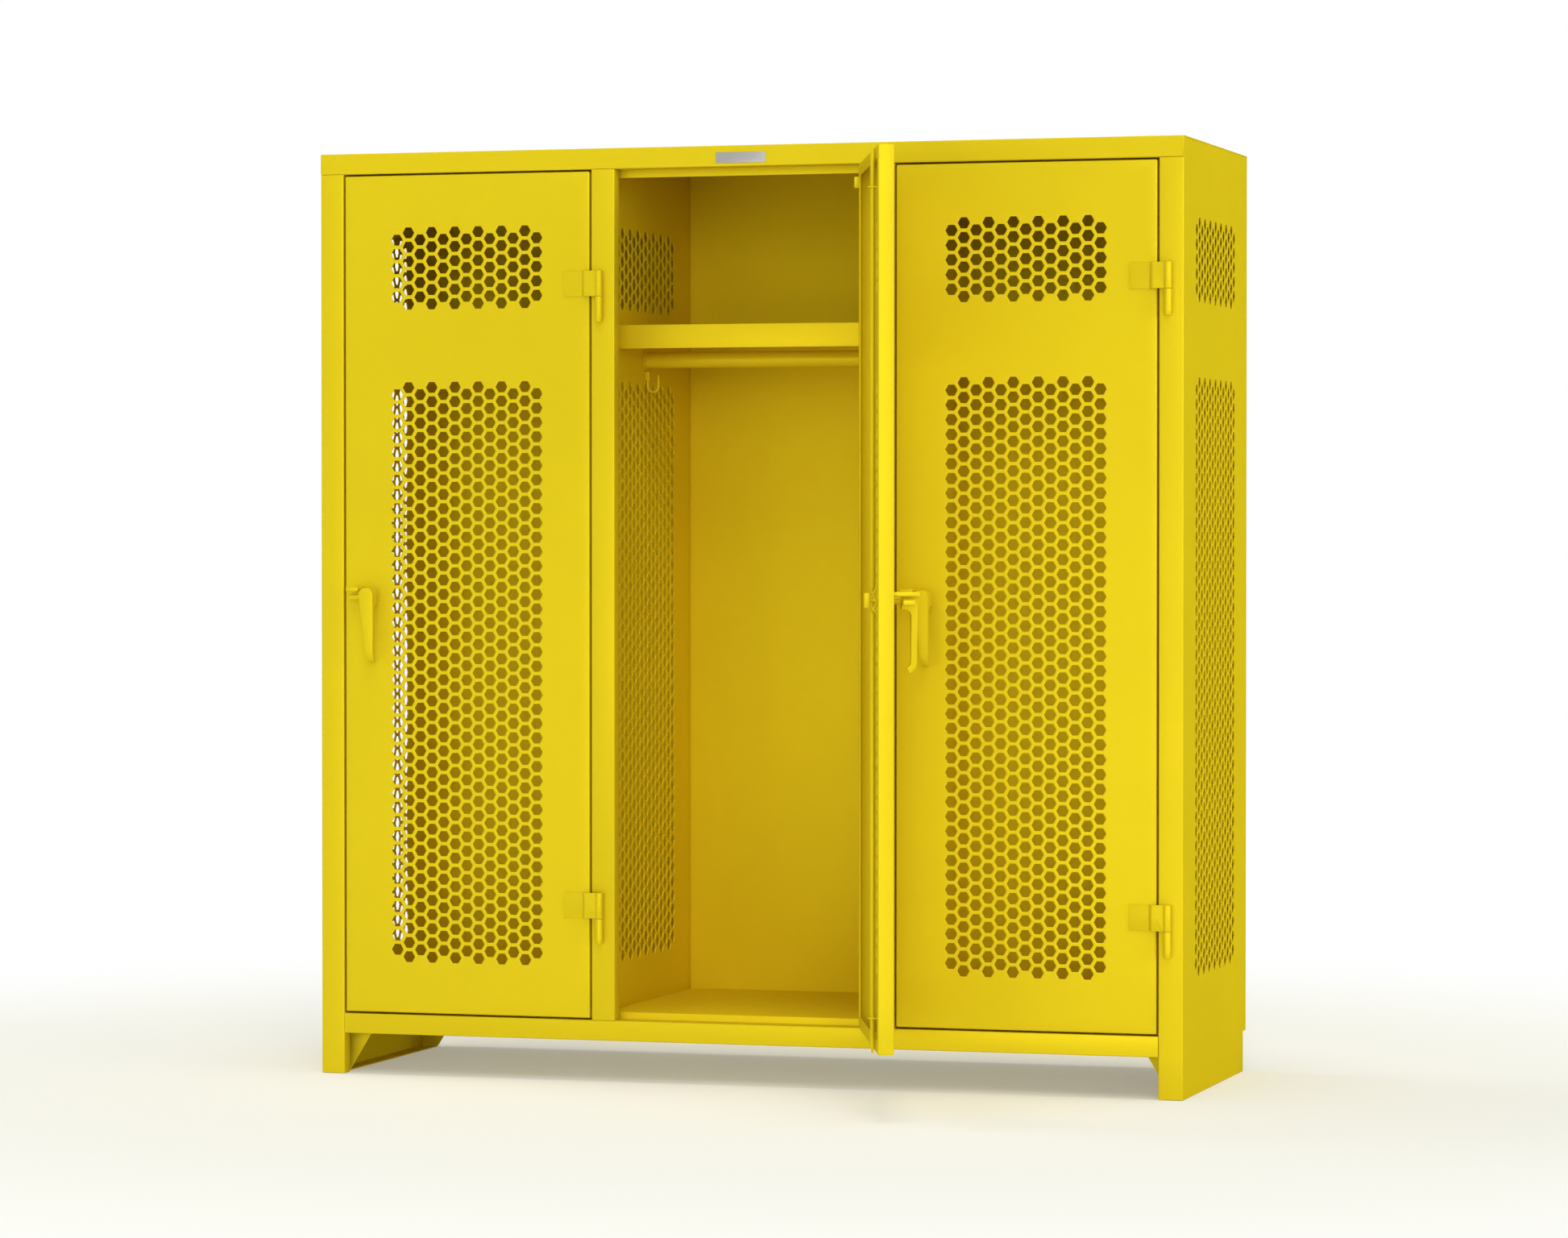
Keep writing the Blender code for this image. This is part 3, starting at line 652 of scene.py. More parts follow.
class Effects:
    """Node groups that the finishes share, each built once."""

    @cached_property
    def orange_peel(self) -> bpy.types.ShaderNodeTree:
        """Return the fine ripple that powder coat sets with.

        Returns:
            A group that puts out a height.
        """
        group = new_group("orange_peel", {"Waves": 420.0, "Grains": 1500.0}, {"Height": "NodeSocketFloat"})
        inlet, outlet = group.nodes.new("NodeGroupInput"), group.nodes.new("NodeGroupOutput")
        place = add_node(group, "TexCoord")
        waves = add_node(group, "TexNoise", {"Detail": 1.0})
        grains = add_node(group, "TexNoise", {"Detail": 1.0})
        both = add_node(group, "Math", {1: 0.25}, operation="MULTIPLY_ADD")
        connect(
            group,
            (place, "Object", waves, "Vector"),
            (place, "Object", grains, "Vector"),
            (inlet, "Waves", waves, "Scale"),
            (inlet, "Grains", grains, "Scale"),
            (grains, "Fac", both, 0),
            (waves, "Fac", both, 2),
            (both, "Value", outlet, "Height"),
        )
        return group

    @cached_property
    def cloudiness(self) -> bpy.types.ShaderNodeTree:
        """Return the faint unevenness of a sprayed coat.

        Returns:
            A group that puts out a mask of soft clouds and one of smaller flecks.
        """
        kinds = {"Clouds": "NodeSocketFloat", "Flecks": "NodeSocketFloat"}
        group = new_group("cloudiness", {"Clouds": 3.0, "Flecks": 90.0}, kinds)
        inlet, outlet = group.nodes.new("NodeGroupInput"), group.nodes.new("NodeGroupOutput")
        place = add_node(group, "TexCoord")
        for label, low, high in (("Clouds", 0.35, 0.65), ("Flecks", 0.45, 0.75)):
            noise = add_node(group, "TexNoise", {"Detail": 3.0})
            spread = add_node(group, "MapRange", {"From Min": low, "From Max": high})
            connect(
                group,
                (place, "Object", noise, "Vector"),
                (inlet, label, noise, "Scale"),
                (noise, "Fac", spread, "Value"),
                (spread, "Result", outlet, label),
            )
        return group


@dataclass(frozen=True)
class Coat:
    """Powder coat, or a satin metal, with faint clouds in its colour and gloss and a fine ripple."""

    name: str
    colour: tuple[float, float, float]
    shade: tuple[float, float, float]
    roughness: float = 0.42
    polish: float = 0.36
    specular: float = 0.0
    metallic: float = 0.2
    ripple: float = 0.00006

    def build(self, effects: Effects) -> bpy.types.Material:
        """Make the material.

        Args:
            effects: The shared node groups.

        Returns:
            The material.
        """
        material = bpy.data.materials.new(self.name)
        material.use_nodes = True
        tree = material.node_tree
        shader = tree.nodes["Principled BSDF"]
        shader.inputs["Metallic"].default_value = self.metallic
        shader.inputs["Specular IOR Level"].default_value = self.specular
        shader.inputs["Specular Tint"].default_value = (*self.colour, 1)
        clouds = add_node(tree, "Group", node_tree=effects.cloudiness)
        peel = add_node(tree, "Group", node_tree=effects.orange_peel)
        tint = add_node(tree, "Mix", {"A": (*self.colour, 1), "B": (*self.shade, 1)}, data_type="RGBA")
        gloss = add_node(tree, "MapRange", {"To Min": self.polish, "To Max": self.roughness})
        bump = add_node(tree, "Bump", {"Distance": self.ripple})
        connect(
            tree,
            (clouds, "Clouds", tint, "Factor"),
            (tint, "Result", shader, "Base Color"),
            (clouds, "Flecks", gloss, "Value"),
            (gloss, "Result", shader, "Roughness"),
            (peel, "Height", bump, "Height"),
            (bump, "Normal", shader, "Normal"),
        )
        return material


@dataclass
class Finishes:
    """All finishes of the locker."""

    body: bpy.types.Material
    door: bpy.types.Material
    inside: bpy.types.Material
    hardware: bpy.types.Material
    plate: bpy.types.Material

    @classmethod
    def build(cls) -> Finishes:
        """Make each finish once.

        Returns:
            The finishes.
        """
        effects = Effects()
        yellow, deep = (0.725, 0.563, 0.0125), (0.705, 0.546, 0.0125)
        coats = {
            "body": Coat("yellow_body_coat", yellow, deep),
            "door": Coat("yellow_door_coat", yellow, deep),
            # The inside coat is the body's yellow painted lighter and more orange: painted bounce light on
            # the walls, floor, back, shelves and rods within the bays
            "inside": Coat("yellow_inside_coat", (0.785, 0.59, 0.013), (0.765, 0.573, 0.013)),
            "hardware": Coat("yellow_hardware_coat", yellow, deep),
            "plate": Coat(
                "satin_name_plate",
                colour=(0.42, 0.41, 0.40),
                shade=(0.36, 0.35, 0.34),
                roughness=0.40,
                polish=0.32,
                specular=0.3,
                metallic=0.6,
                ripple=0.00002,
            ),
        }
        return cls(**{name: coat.build(effects) for name, coat in coats.items()})


# Sizes that the sub-assemblies share


@dataclass(frozen=True)
class Sheet:
    """Sheet metal, its folds and its play."""

    thickness: float = 0.0027
    fold: float = 0.0016
    rim: float = 0.00035
    play: float = 0.0003

    @property
    def half(self) -> float:
        """Return half the thickness."""
        return self.thickness / 2

    def finish(self, piece: bpy.types.Object) -> bpy.types.Object:
        """Round the folds of an open sheet, give it thickness and soften its rims.

        Args:
            piece: The open sheet.

        Returns:
            The finished sheet.
        """
        round_folds(piece, self.fold)
        thicken(piece, self.thickness)
        soften(piece, self.rim, 2, 70)
        return piece


@dataclass(frozen=True)
class Carcass:
    """Places on the welded body, with y counted from the front faces."""

    front: float
    side: float
    height: float = 1.9812
    depth: float = 0.635
    post: float = 0.0518
    post_return: float = 0.0318
    bay_pitch: float = 0.6157
    header_height: float = 0.0442
    rail_bottom: float = 0.0878
    rail_top: float = 0.131
    floor_top: float = 0.1461
    stop_setback: float = 0.0466
    stop_drop: float = 0.0165
    back_flange: float = 0.0254
    leg_setback: float = 0.0315
    foot_flange: float = 0.0381
    gusset_reach: float = 0.0915
    gusset_foot: float = 0.04
    gusset_setback: float = 0.066
    divider_offset: float = 0.0089
    divider_flange: float = 0.02
    hinge_stand: float = 0.0114
    sheet: Sheet = field(default_factory=Sheet)

    @property
    def header_bottom(self) -> float:
        """Return the height of the header's lower edge."""
        return self.height - self.header_height

    @property
    def wall_top(self) -> float:
        """Return the height of the walls' upper edges."""
        return self.height - self.sheet.thickness - self.sheet.play

    @property
    def inner_back(self) -> float:
        """Return the y at which what stands before the back panel ends."""
        return self.depth - 2 * self.sheet.thickness - 2 * self.sheet.play

    def post_centre(self, number: int) -> float:
        """Return the x of a front post's middle, counted from the left."""
        return self.post / 2 - self.side + number * self.bay_pitch

    def bay_span(self, bay: Bay) -> Span:
        """Return the clear span between a bay's walls.

        Args:
            bay: The bay.

        Returns:
            The lowest and the highest x, less the play at both walls.
        """
        sheet = self.sheet
        low = sheet.thickness - self.side if bay is Bay.LEFT else self.wall_of(bay.number) + sheet.half
        high = self.side - sheet.thickness if bay is Bay.RIGHT else self.wall_of(bay.number + 1) - sheet.half
        return low + sheet.play, high - sheet.play

    def wall_of(self, number: int) -> float:
        """Return the x of the divider behind a front post."""
        return self.post_centre(number) - self.divider_offset

    def seat(self) -> Matrix:
        """Return the move from the front faces' frame to the row frame."""
        return Matrix.Translation((0, self.front, 0))


@dataclass(frozen=True)
class HexPattern:
    """Regular pattern of flat-topped hexagonal holes in two fields, one above the other."""

    row_pitch: float = 0.03055
    hole: float = 0.02325
    upper_top: float = 1.8095
    upper_rows: int = 6
    lower_top: float = 1.47803
    lower_rows: int = 41

    @property
    def column_pitch(self) -> float:
        """Return the distance between neighbouring columns."""
        return self.row_pitch * math.sqrt(3) / 2

    def cell(self, name: str, across: float, up: float) -> bpy.types.Object:
        """Model one cell: its hole's face and the web round it, facing -Y.

        Args:
            name: The piece's name.
            across: The cell's x.
            up: The cell's z.

        Returns:
            The cell.
        """
        bpy.ops.mesh.primitive_circle_add(
            vertices=6,
            radius=self.row_pitch / math.sqrt(3),
            fill_type="NGON",
            location=(across, 0, up),
            rotation=(math.pi / 2, math.pi / 6, 0),
        )
        piece = adopt(name)
        with editing(piece):
            bpy.ops.mesh.select_all(action="SELECT")
            bpy.ops.mesh.inset(thickness=(self.row_pitch - self.hole) / 2)
        return piece

    def columns(self, name: str, first: float, count: int, top: float, rows: int) -> bpy.types.Object:
        """Repeat one cell down its column and over every other column.

        Args:
            name: The piece's name.
            first: The x of the first column.
            count: How many columns.
            top: The z of the highest cells.
            rows: How many cells a column has.

        Returns:
            The columns.
        """
        piece = self.cell(name, first, top)
        for number, step in ((rows, (0, 0, -self.row_pitch)), (count, (2 * self.column_pitch, 0, 0))):
            modify(
                piece,
                "ARRAY",
                count=number,
                use_relative_offset=False,
                use_constant_offset=True,
                constant_offset_displace=step,
                use_merge_vertices=True,
                merge_threshold=NEAR,
            )
        return piece

    def face(self, name: str, middle: float, columns: int, across: Span, up: Span) -> bpy.types.Object:
        """Model a flat perforated face across X and Z at y = 0.

        Args:
            name: The piece's name.
            middle: The x of the pattern's middle.
            columns: How many columns it has, an odd number.
            across: The face's span along X.
            up: The face's span along Z.

        Returns:
            The face, with its holes open.
        """
        pitch, half_row = self.row_pitch, self.row_pitch / 2
        reach = (columns - 1) / 2 * self.column_pitch
        between = (self.upper_top - self.upper_rows * pitch + self.lower_top + pitch) / 2
        fields = (
            (self.upper_top, self.upper_rows, up[1], between),
            (self.lower_top, self.lower_rows, between, up[0]),
        )
        parts = []
        for top, rows, _, _ in fields:
            high_first = middle - reach + self.column_pitch
            parts.append(self.columns(name, high_first, columns // 2, top, rows))
            parts.append(self.columns(name, middle - reach, columns // 2 + 1, top - half_row, rows - 1))
        face = joined(name, *parts)
        with editing(face):
            bpy.ops.mesh.select_all(action="SELECT")
            bpy.ops.mesh.remove_doubles(threshold=2 * NEAR)
            for top, rows, ceiling, floor in fields:
                low = top - (rows - 1) * pitch
                run_out(face, Axis.Z, (top, top + half_row), ceiling)
                run_out(face, Axis.Z, (low - half_row, low), floor)
            bpy.ops.mesh.select_all(action="SELECT")
            bpy.ops.mesh.remove_doubles(threshold=2 * NEAR)
            side, corner = reach + pitch / math.sqrt(3), reach + pitch / math.sqrt(12)
            run_out(face, Axis.X, (middle - side, middle - corner), across[0])
            run_out(face, Axis.X, (middle + corner, middle + side), across[1])
            pick(face, Elements.FACES, lambda side: len(side.verts) == 6)
            bpy.ops.mesh.delete(type="FACE")
            bpy.ops.mesh.select_all(action="SELECT")
            bpy.ops.mesh.normals_make_consistent(inside=False)
        return face


@dataclass
class Workshop:
    """What every sub-assembly needs: the body's places and the finishes."""

    carcass: Carcass
    finishes: Finishes
    pattern: HexPattern = field(default_factory=HexPattern)

    def hand_over(
        self,
        piece: bpy.types.Object,
        place: Matrix,
        body: str,
        slot: Slot,
        nodes: Sequence[str] = (),
        finish: bpy.types.Material | None = None,
    ) -> None:
        """Seat a finished piece in the row frame, paint it and tie it to its body.

        Args:
            piece: The piece.
            place: The move from where it was modelled to the row frame.
            body: The CAD body that it rides on.
            slot: The material slot.
            nodes: The CAD nodes that it stands for.
            finish: Its material, if it isn't the slot's own.
        """
        turned_by(piece, place)
        piece.data.materials.clear()
        piece.data.materials.append(finish or getattr(self.finishes, slot.value))
        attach(piece, body)
        if nodes:
            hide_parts(*nodes)
        LOG.info("%s rides on %s, %d faces", piece.name, body, len(piece.data.polygons))

    def weld_in(
        self, piece: bpy.types.Object, slot: Slot, node: str, place: Sequence[float] = (0, 0, 0)
    ) -> None:
        """Hand over a piece of the welded body.

        Args:
            piece: The piece.
            slot: The material slot.
            node: The CAD node that it stands for.
            place: Where the piece's own origin comes to lie, with y counted from the front faces.
        """
        self.hand_over(piece, self.carcass.seat() @ Matrix.Translation(place), "locker_frame", slot, [node])


@dataclass
class Shell:
    """The welded body: sides, dividers, posts, top, header stop, rail, floor, back and gussets."""

    workshop: Workshop
    columns: int = 15
    pattern_middle: float = 0.3147
    border: float = 0.03
    weld_radius: float = 0.0045
    weld_rise: float = 0.0005
    weld_sides: int = 24
    weld_places: tuple[Point, ...] = ((0.139, 1.591), (0.546, 1.596), (0.307, 1.506), (0.125, 0.116))
    anchor_radius: float = 0.0065
    anchor_y: float = 0.57
    anchor_inset: float = 0.021
    slot_inset: float = 0.028
    slot_reach: float = 0.022
    slot_depth: Span = (0.611, 0.622)
    slot_corner: float = 0.0035
    plate_middle: float = -0.001
    plate_drop: float = 0.0035
    plate_half: Span = (0.0545, 0.01125)
    plate_depth: Span = (-0.0015, 0.0001)
    plate_edge: float = 0.0005

    @property
    def carcass(self) -> Carcass:
        """Return the body's places."""
        return self.workshop.carcass

    def perforated_wall(self, name: str, x: float, start: float, end: float, low: float) -> bpy.types.Object:
        """Model the flat of a wall across Y and Z, with its pattern, up to the wall's full outline.

        Args:
            name: The piece's name.
            x: The wall's x.
            start: Its foremost y.
            end: Its rearmost y.
            low: Its lowest z.

        Returns:
            The open sheet.
        """
        carcass = self.carcass
        inner = (start + self.border, end - self.border)
        top = carcass.header_bottom - carcass.stop_drop - self.border
        bottom = carcass.floor_top + self.border
        face = self.workshop.pattern.face(name, self.pattern_middle, self.columns, inner, (bottom, top))
        turned_by(face, Matrix.Translation((x, 0, 0)) @ Matrix.Rotation(math.pi / 2, 4, "Z"))
        with editing(face):
            push_edges(face, Axis.Z, top, (0, 0, carcass.wall_top - top))
            push_edges(face, Axis.Z, bottom, (0, 0, low - bottom))
            push_edges(face, Axis.Y, inner[0], (0, start - inner[0], 0))
            push_edges(face, Axis.Y, inner[1], (0, end - inner[1], 0))
        return face

    def side_panel(self) -> bpy.types.Object:
        """Model the open sheet of the left side panel, with its post, back flange, leg and foot.

        Returns:
            The open sheet.
        """
        carcass, sheet = self.carcass, self.carcass.sheet
        wall = sheet.half - carcass.side
        panel = self.perforated_wall("side", wall, sheet.half, carcass.depth - sheet.half, sheet.half)
        leg_end = carcass.depth - carcass.leg_setback
        foot_start = 4 * sheet.fold
        post_top = carcass.header_bottom - sheet.play
        front_end = sheet.thickness + 2 * sheet.play
        inner_edge = carcass.post - carcass.side - sheet.half

        def in_header(at: Vector) -> bool:
            """Return whether a face's middle lies where the header goes."""
            return at.z > post_top and (at.y < front_end or (at.x > wall + NEAR and at.y < leg_end))

        def on_foot(edge: bmesh.types.BMEdge) -> bool:
            """Return whether an open edge is the wall's lower end at the foot."""
            ends = [vert.co for vert in edge.verts]
            at_foot = all(abs(end.z - sheet.half) < NEAR and abs(end.x - wall) < NEAR for end in ends)
            return edge.is_boundary and at_foot and foot_start < middle_of(edge).y < leg_end

        with editing(panel):
            push_edges(panel, Axis.Y, sheet.half, (carcass.post - sheet.thickness, 0, 0))
            push_edges(panel, Axis.X, inner_edge, (0, carcass.post_return - sheet.half, 0))
            push_edges(panel, Axis.Y, carcass.depth - sheet.half, (carcass.back_flange - sheet.half, 0, 0))
            cut(Axis.Z, carcass.rail_bottom)
            cut(Axis.Z, post_top)
            cut(Axis.Y, leg_end)
            cut(Axis.Y, foot_start)
            cut(Axis.Y, front_end)
            remove_faces(panel, lambda at: at.z < carcass.rail_bottom and at.y > leg_end)
            remove_faces(panel, in_header)
            pick(panel, Elements.EDGES, on_foot)
            push((carcass.foot_flange - sheet.half, 0, 0))
        return panel

    def weld_marks(self, side: Side) -> bpy.types.Object:
        """Model the ground-down plug welds that hold shelf, rod and floor to a side panel.

        Args:
            side: The panel's side.

        Returns:
            The marks in one object.
        """
        out, edge = Vector((side.value * self.weld_rise, 0, 0)), self.weld_rise / 2
        marks = []
        for y, z in self.weld_places:
            face = Vector((side.value * self.carcass.side, y, z))
            marks.append(bar("weld", self.weld_radius, face - out, face + out, edge, self.weld_sides))
        return joined("welds", *marks)

    def build_sides(self) -> None:
        """Build both side panels, the right one as the left one's mirror image."""
        carcass = self.carcass
        left = self.side_panel()
        right = copied(left, "right_side")
        turned_by(right, Matrix.Diagonal((-1, 1, 1, 1)))
        with editing(right):
            bpy.ops.mesh.select_all(action="SELECT")
            bpy.ops.mesh.normals_make_consistent(inside=False)
        past = Vector((0, 0, PAST))
        for panel, side in ((left, Side.LEFT), (right, Side.RIGHT)):
            carcass.sheet.finish(panel)
            anchor = Vector((side.value * (carcass.side - self.anchor_inset), self.anchor_y, 0))
            combine(panel, bar("anchor", self.anchor_radius, anchor - past, anchor + past), Merge.DIFFERENCE)
            combine(panel, self.weld_marks(side), Merge.UNION)
            smooth(panel)
            panel.name = f"{side.label}_side_sheet"
            self.workshop.weld_in(panel, Slot.BODY, f"{side.label}_side_panel")

    def build_dividers(self) -> None:
        """Build both dividers and the posts in front of them."""
        carcass, sheet = self.carcass, self.carcass.sheet
        front = sheet.thickness + sheet.play + sheet.half
        back = carcass.inner_back - sheet.half
        low = carcass.floor_top + sheet.play
        wall = self.perforated_wall("divider", 0.0, front, back, low)
        notch = carcass.header_bottom - carcass.stop_drop - sheet.play
        notch_end = carcass.stop_setback + sheet.thickness
        with editing(wall):
            push_edges(wall, Axis.Y, front, (carcass.divider_flange, 0, 0))
            push_edges(wall, Axis.Y, back, (-carcass.divider_flange, 0, 0))
            cut(Axis.Z, notch)
            cut(Axis.Y, notch_end)
            remove_faces(wall, lambda at: at.z > notch and at.y < notch_end)
        sheet.finish(wall)
        half, end = carcass.post / 2 - sheet.half, carcass.post_return
        line = [(-half, end), (-half, sheet.half), (half, sheet.half), (half, end)]
        post = folded("post", line, (carcass.rail_top + sheet.play, carcass.header_bottom - sheet.play))
        turned_by(post, UPRIGHT)
        sheet.finish(post)
        for number, side in enumerate(Side, start=1):
            label, wall_x, post_x = side.label, carcass.wall_of(number), carcass.post_centre(number)
            piece = copied(wall, f"{label}_divider_sheet")
            self.workshop.weld_in(piece, Slot.INSIDE, f"{label}_divider", (wall_x, 0, 0))
            piece = copied(post, f"{label}_divider_channel")
            self.workshop.weld_in(piece, Slot.BODY, f"{label}_divider_post", (post_x, 0, 0))
        for spare in (wall, post):
            bpy.data.objects.remove(spare)

    def build_long_sheets(self) -> None:
        """Build the folded sheets that run over the whole width."""
        carcass, sheet = self.carcass, self.carcass.sheet
        half, play = sheet.half, sheet.play
        inner = carcass.side - sheet.thickness - play
        behind = carcass.stop_setback - half - play
        back = carcass.inner_back - half
        top_line = [
            (behind, carcass.header_bottom + half),
            (half, carcass.header_bottom + half),
            (half, carcass.height - half),
            (carcass.depth, carcass.height - half),
        ]
        top = folded("top_sheet", top_line, (-carcass.side, carcass.side))
        with editing(top):
            cut(Axis.X, -inner)
            cut(Axis.X, inner)
            remove_faces(top, lambda at: abs(at.x) > inner and at.z < carcass.header_bottom + sheet.thickness)
        rail_line = [
            (behind, carcass.rail_bottom + half),
            (half, carcass.rail_bottom + half),
            (half, carcass.rail_top - half),
            (behind, carcass.rail_top - half),
        ]
        rail_reach = carcass.side - carcass.post - play
        rail = folded("rail_sheet", rail_line, (-rail_reach, rail_reach))
        floor_line = [
            (carcass.stop_setback, carcass.rail_bottom),
            (carcass.stop_setback, carcass.floor_top - half),
            (back, carcass.floor_top - half),
            (back, carcass.rail_bottom),
        ]
        floor = folded("floor_sheet", floor_line, (-inner, inner))
        for piece in (top, rail, floor):
            sheet.finish(piece)
        self.cut_floor_slots(floor)
        self.workshop.weld_in(top, Slot.BODY, "top_panel")
        self.workshop.weld_in(rail, Slot.BODY, "bottom_rail")
        self.workshop.weld_in(floor, Slot.INSIDE, "floor_pan")

    def cut_floor_slots(self, floor: bpy.types.Object) -> None:
        """Cut the slots for floor anchors into the floor sheet.

        Args:
            floor: The finished floor sheet.
        """
        carcass, thickness = self.carcass, self.carcass.sheet.thickness
        level = (carcass.floor_top - 2 * thickness, carcass.floor_top + thickness)
        for bay in Bay:
            low, high = carcass.bay_span(bay)
            for x in (low + self.slot_inset, high - self.slot_inset):
                across = (x - self.slot_reach, x + self.slot_reach)
                slot = block("slot", across, self.slot_depth, level, self.slot_corner)
                combine(floor, slot, Merge.DIFFERENCE)
        smooth(floor)

    def build_plates(self) -> None:
        """Build the header stop, the back panel and the gussets."""
        carcass, sheet = self.carcass, self.carcass.sheet
        reach = carcass.side - sheet.thickness - sheet.play
        depth = (carcass.stop_setback - sheet.half, carcass.stop_setback + sheet.half)
        level = (carcass.header_bottom - carcass.stop_drop, carcass.header_bottom + sheet.thickness)
        stop = block("stop_strip", (-reach, reach), depth, level, sheet.rim)
        depth = (carcass.inner_back + sheet.play, carcass.inner_back + sheet.play + sheet.thickness)
        back = block("back_sheet", (-reach, reach), depth, (carcass.rail_bottom, carcass.wall_top), sheet.rim)
        self.workshop.weld_in(stop, Slot.BODY, "header_stop")
        self.workshop.weld_in(back, Slot.INSIDE, "back_panel")
        outer = sheet.thickness + sheet.play - carcass.side
        low, high = sheet.thickness + sheet.play, carcass.rail_bottom - sheet.play
        outline = [(outer, low), (carcass.gusset_foot - carcass.side, low)]
        outline += [(carcass.gusset_reach - carcass.side, high), (outer, high)]
        brace = prism("brace", outline, Axis.Y, (0, sheet.thickness))
        soften(brace, sheet.rim)
        turned = Matrix.Rotation(math.pi, 4, "Z") @ Matrix.Translation((0, -sheet.thickness, 0))
        leg_end = carcass.depth - carcass.leg_setback
        for end, y in (("front", carcass.gusset_setback), ("rear", leg_end - sheet.thickness)):
            for side in Side:
                piece = copied(brace, f"{end}_{side.label}_brace")
                if side is Side.RIGHT:
                    turned_by(piece, turned)
                self.workshop.weld_in(piece, Slot.BODY, f"{end}_{side.label}_gusset", (0, y, 0))
        bpy.data.objects.remove(brace)

    def build_name_plate(self) -> None:
        """Build the blank plate on the header."""
        carcass, finish = self.carcass, self.workshop.finishes.plate
        x, z = self.plate_middle, carcass.header_bottom + carcass.header_height / 2 - self.plate_drop
        width, height = self.plate_half
        across, level = (x - width, x + width), (z - height, z + height)
        plate = block("blank_name_plate", across, self.plate_depth, level, self.plate_edge)
        self.workshop.hand_over(plate, carcass.seat(), "locker_frame", Slot.HARDWARE, finish=finish)

    def build(self) -> None:
        """Build the whole welded body."""
        self.build_sides()
        self.build_dividers()
        self.build_long_sheets()
        self.build_plates()
        self.build_name_plate()


@dataclass
class Fittings:
    """Each bay's shelf, coat rod and coat hook."""

    workshop: Workshop
    shelf_top: float = 1.6119
    shelf_lip: float = 0.0508
    shelf_back_lip: float = 0.0254
    shelf_setback: float = 0.1194
    rod_y: float = 0.315
    rod_z: float = 1.5423
    rod_radius: float = 0.0173
    flange_radius: float = 0.024
    flange: float = 0.0025
    flange_edge: float = 0.0006
    rod_sides: int = 64
    hook_drop: float = 0.0472
    hook_reach: float = 0.0305
    hook_stem: float = 0.0035
    hook_wire: float = 0.003
    hook_prong: float = 0.0235
    hook_nose: Span = (-0.001, 0.0008)
    hook_nose_share: float = 0.6
    hook_plate: tuple[float, float, float] = (0.0095, 0.022, 0.02)
    hook_plate_edge: float = 0.0009

    def shelf(self, name: str, span: Span) -> bpy.types.Object:
        """Model a shelf with its lips.

        Args:
            name: The piece's name.
            span: The clear span between the bay's walls.

        Returns:
            The shelf.
        """
        carcass, sheet = self.workshop.carcass, self.workshop.carcass.sheet
        back = carcass.inner_back - sheet.thickness - sheet.play - sheet.half
        line = [
            (self.shelf_setback, self.shelf_top - self.shelf_lip),
            (self.shelf_setback, self.shelf_top - sheet.half),
            (back, self.shelf_top - sheet.half),
            (back, self.shelf_top - self.shelf_back_lip),
        ]
        return sheet.finish(folded(name, line, span))

    def coat_rod(self, name: str, span: Span) -> bpy.types.Object:
        """Model a coat rod with a flange at each wall.

        Args:
            name: The piece's name.
            span: The clear span between the bay's walls.

        Returns:
            The rod.
        """
        start, end = (Vector((x, self.rod_y, self.rod_z)) for x in span)
        inward = Vector((self.flange, 0, 0))
        rod = bar(name, self.rod_radius, start + inward / 2, end - inward / 2, sides=self.rod_sides)
        for low, high in ((start, start + inward), (end - inward, end)):
            flange = bar("flange", self.flange_radius, low, high, self.flange_edge, self.rod_sides)
            combine(rod, flange, Merge.UNION)
        smooth(rod)
        return rod

    def coat_hook(self, name: str) -> bpy.types.Object:
        """Model a coat hook on a wall at x = 0, with its plate's top at z = 0.

        Args:
            name: The piece's name.

        Returns:
            The hook.
        """
        depth, width, height = self.hook_plate
        plate = block(name, (0, depth), (-width / 2, width / 2), (-height, 0), self.hook_plate_edge)
        prong_x = self.hook_reach - self.hook_wire
        bend = (prong_x - self.hook_stem) / 2
        bend_z = bend + self.hook_wire - self.hook_drop
        line = [(self.hook_stem, -height / 2), *arc((self.hook_stem + bend, bend_z), bend, 180, 360, 20)]
        line += [(prong_x, bend_z + self.hook_prong + rise) for rise in self.hook_nose]
        points = [Vector((x, 0, z)) for x, z in line]
        stem = wire("stem", points, self.hook_wire, {len(points) - 1: self.hook_nose_share})
        piece = combine(plate, stem, Merge.UNION)
        smooth(piece)
        return piece

    def build(self) -> None:
        """Build the fittings of every bay."""
        carcass, weld_in = self.workshop.carcass, self.workshop.weld_in
        pattern = self.coat_hook("hook")
        hook_top = self.rod_z - self.flange_radius - 2 * carcass.sheet.play
        for bay in Bay:
            label, span = bay.label, carcass.bay_span(bay)
            weld_in(self.shelf(f"{label}_hat_shelf", span), Slot.INSIDE, f"{label}_shelf")
            weld_in(self.coat_rod(f"{label}_hanger_rod", span), Slot.INSIDE, f"{label}_coat_rod")
            hook = copied(pattern, f"{label}_wire_hook")
            weld_in(hook, Slot.HARDWARE, f"{label}_coat_hook", (span[0], self.rod_y, hook_top))
        bpy.data.objects.remove(pattern)


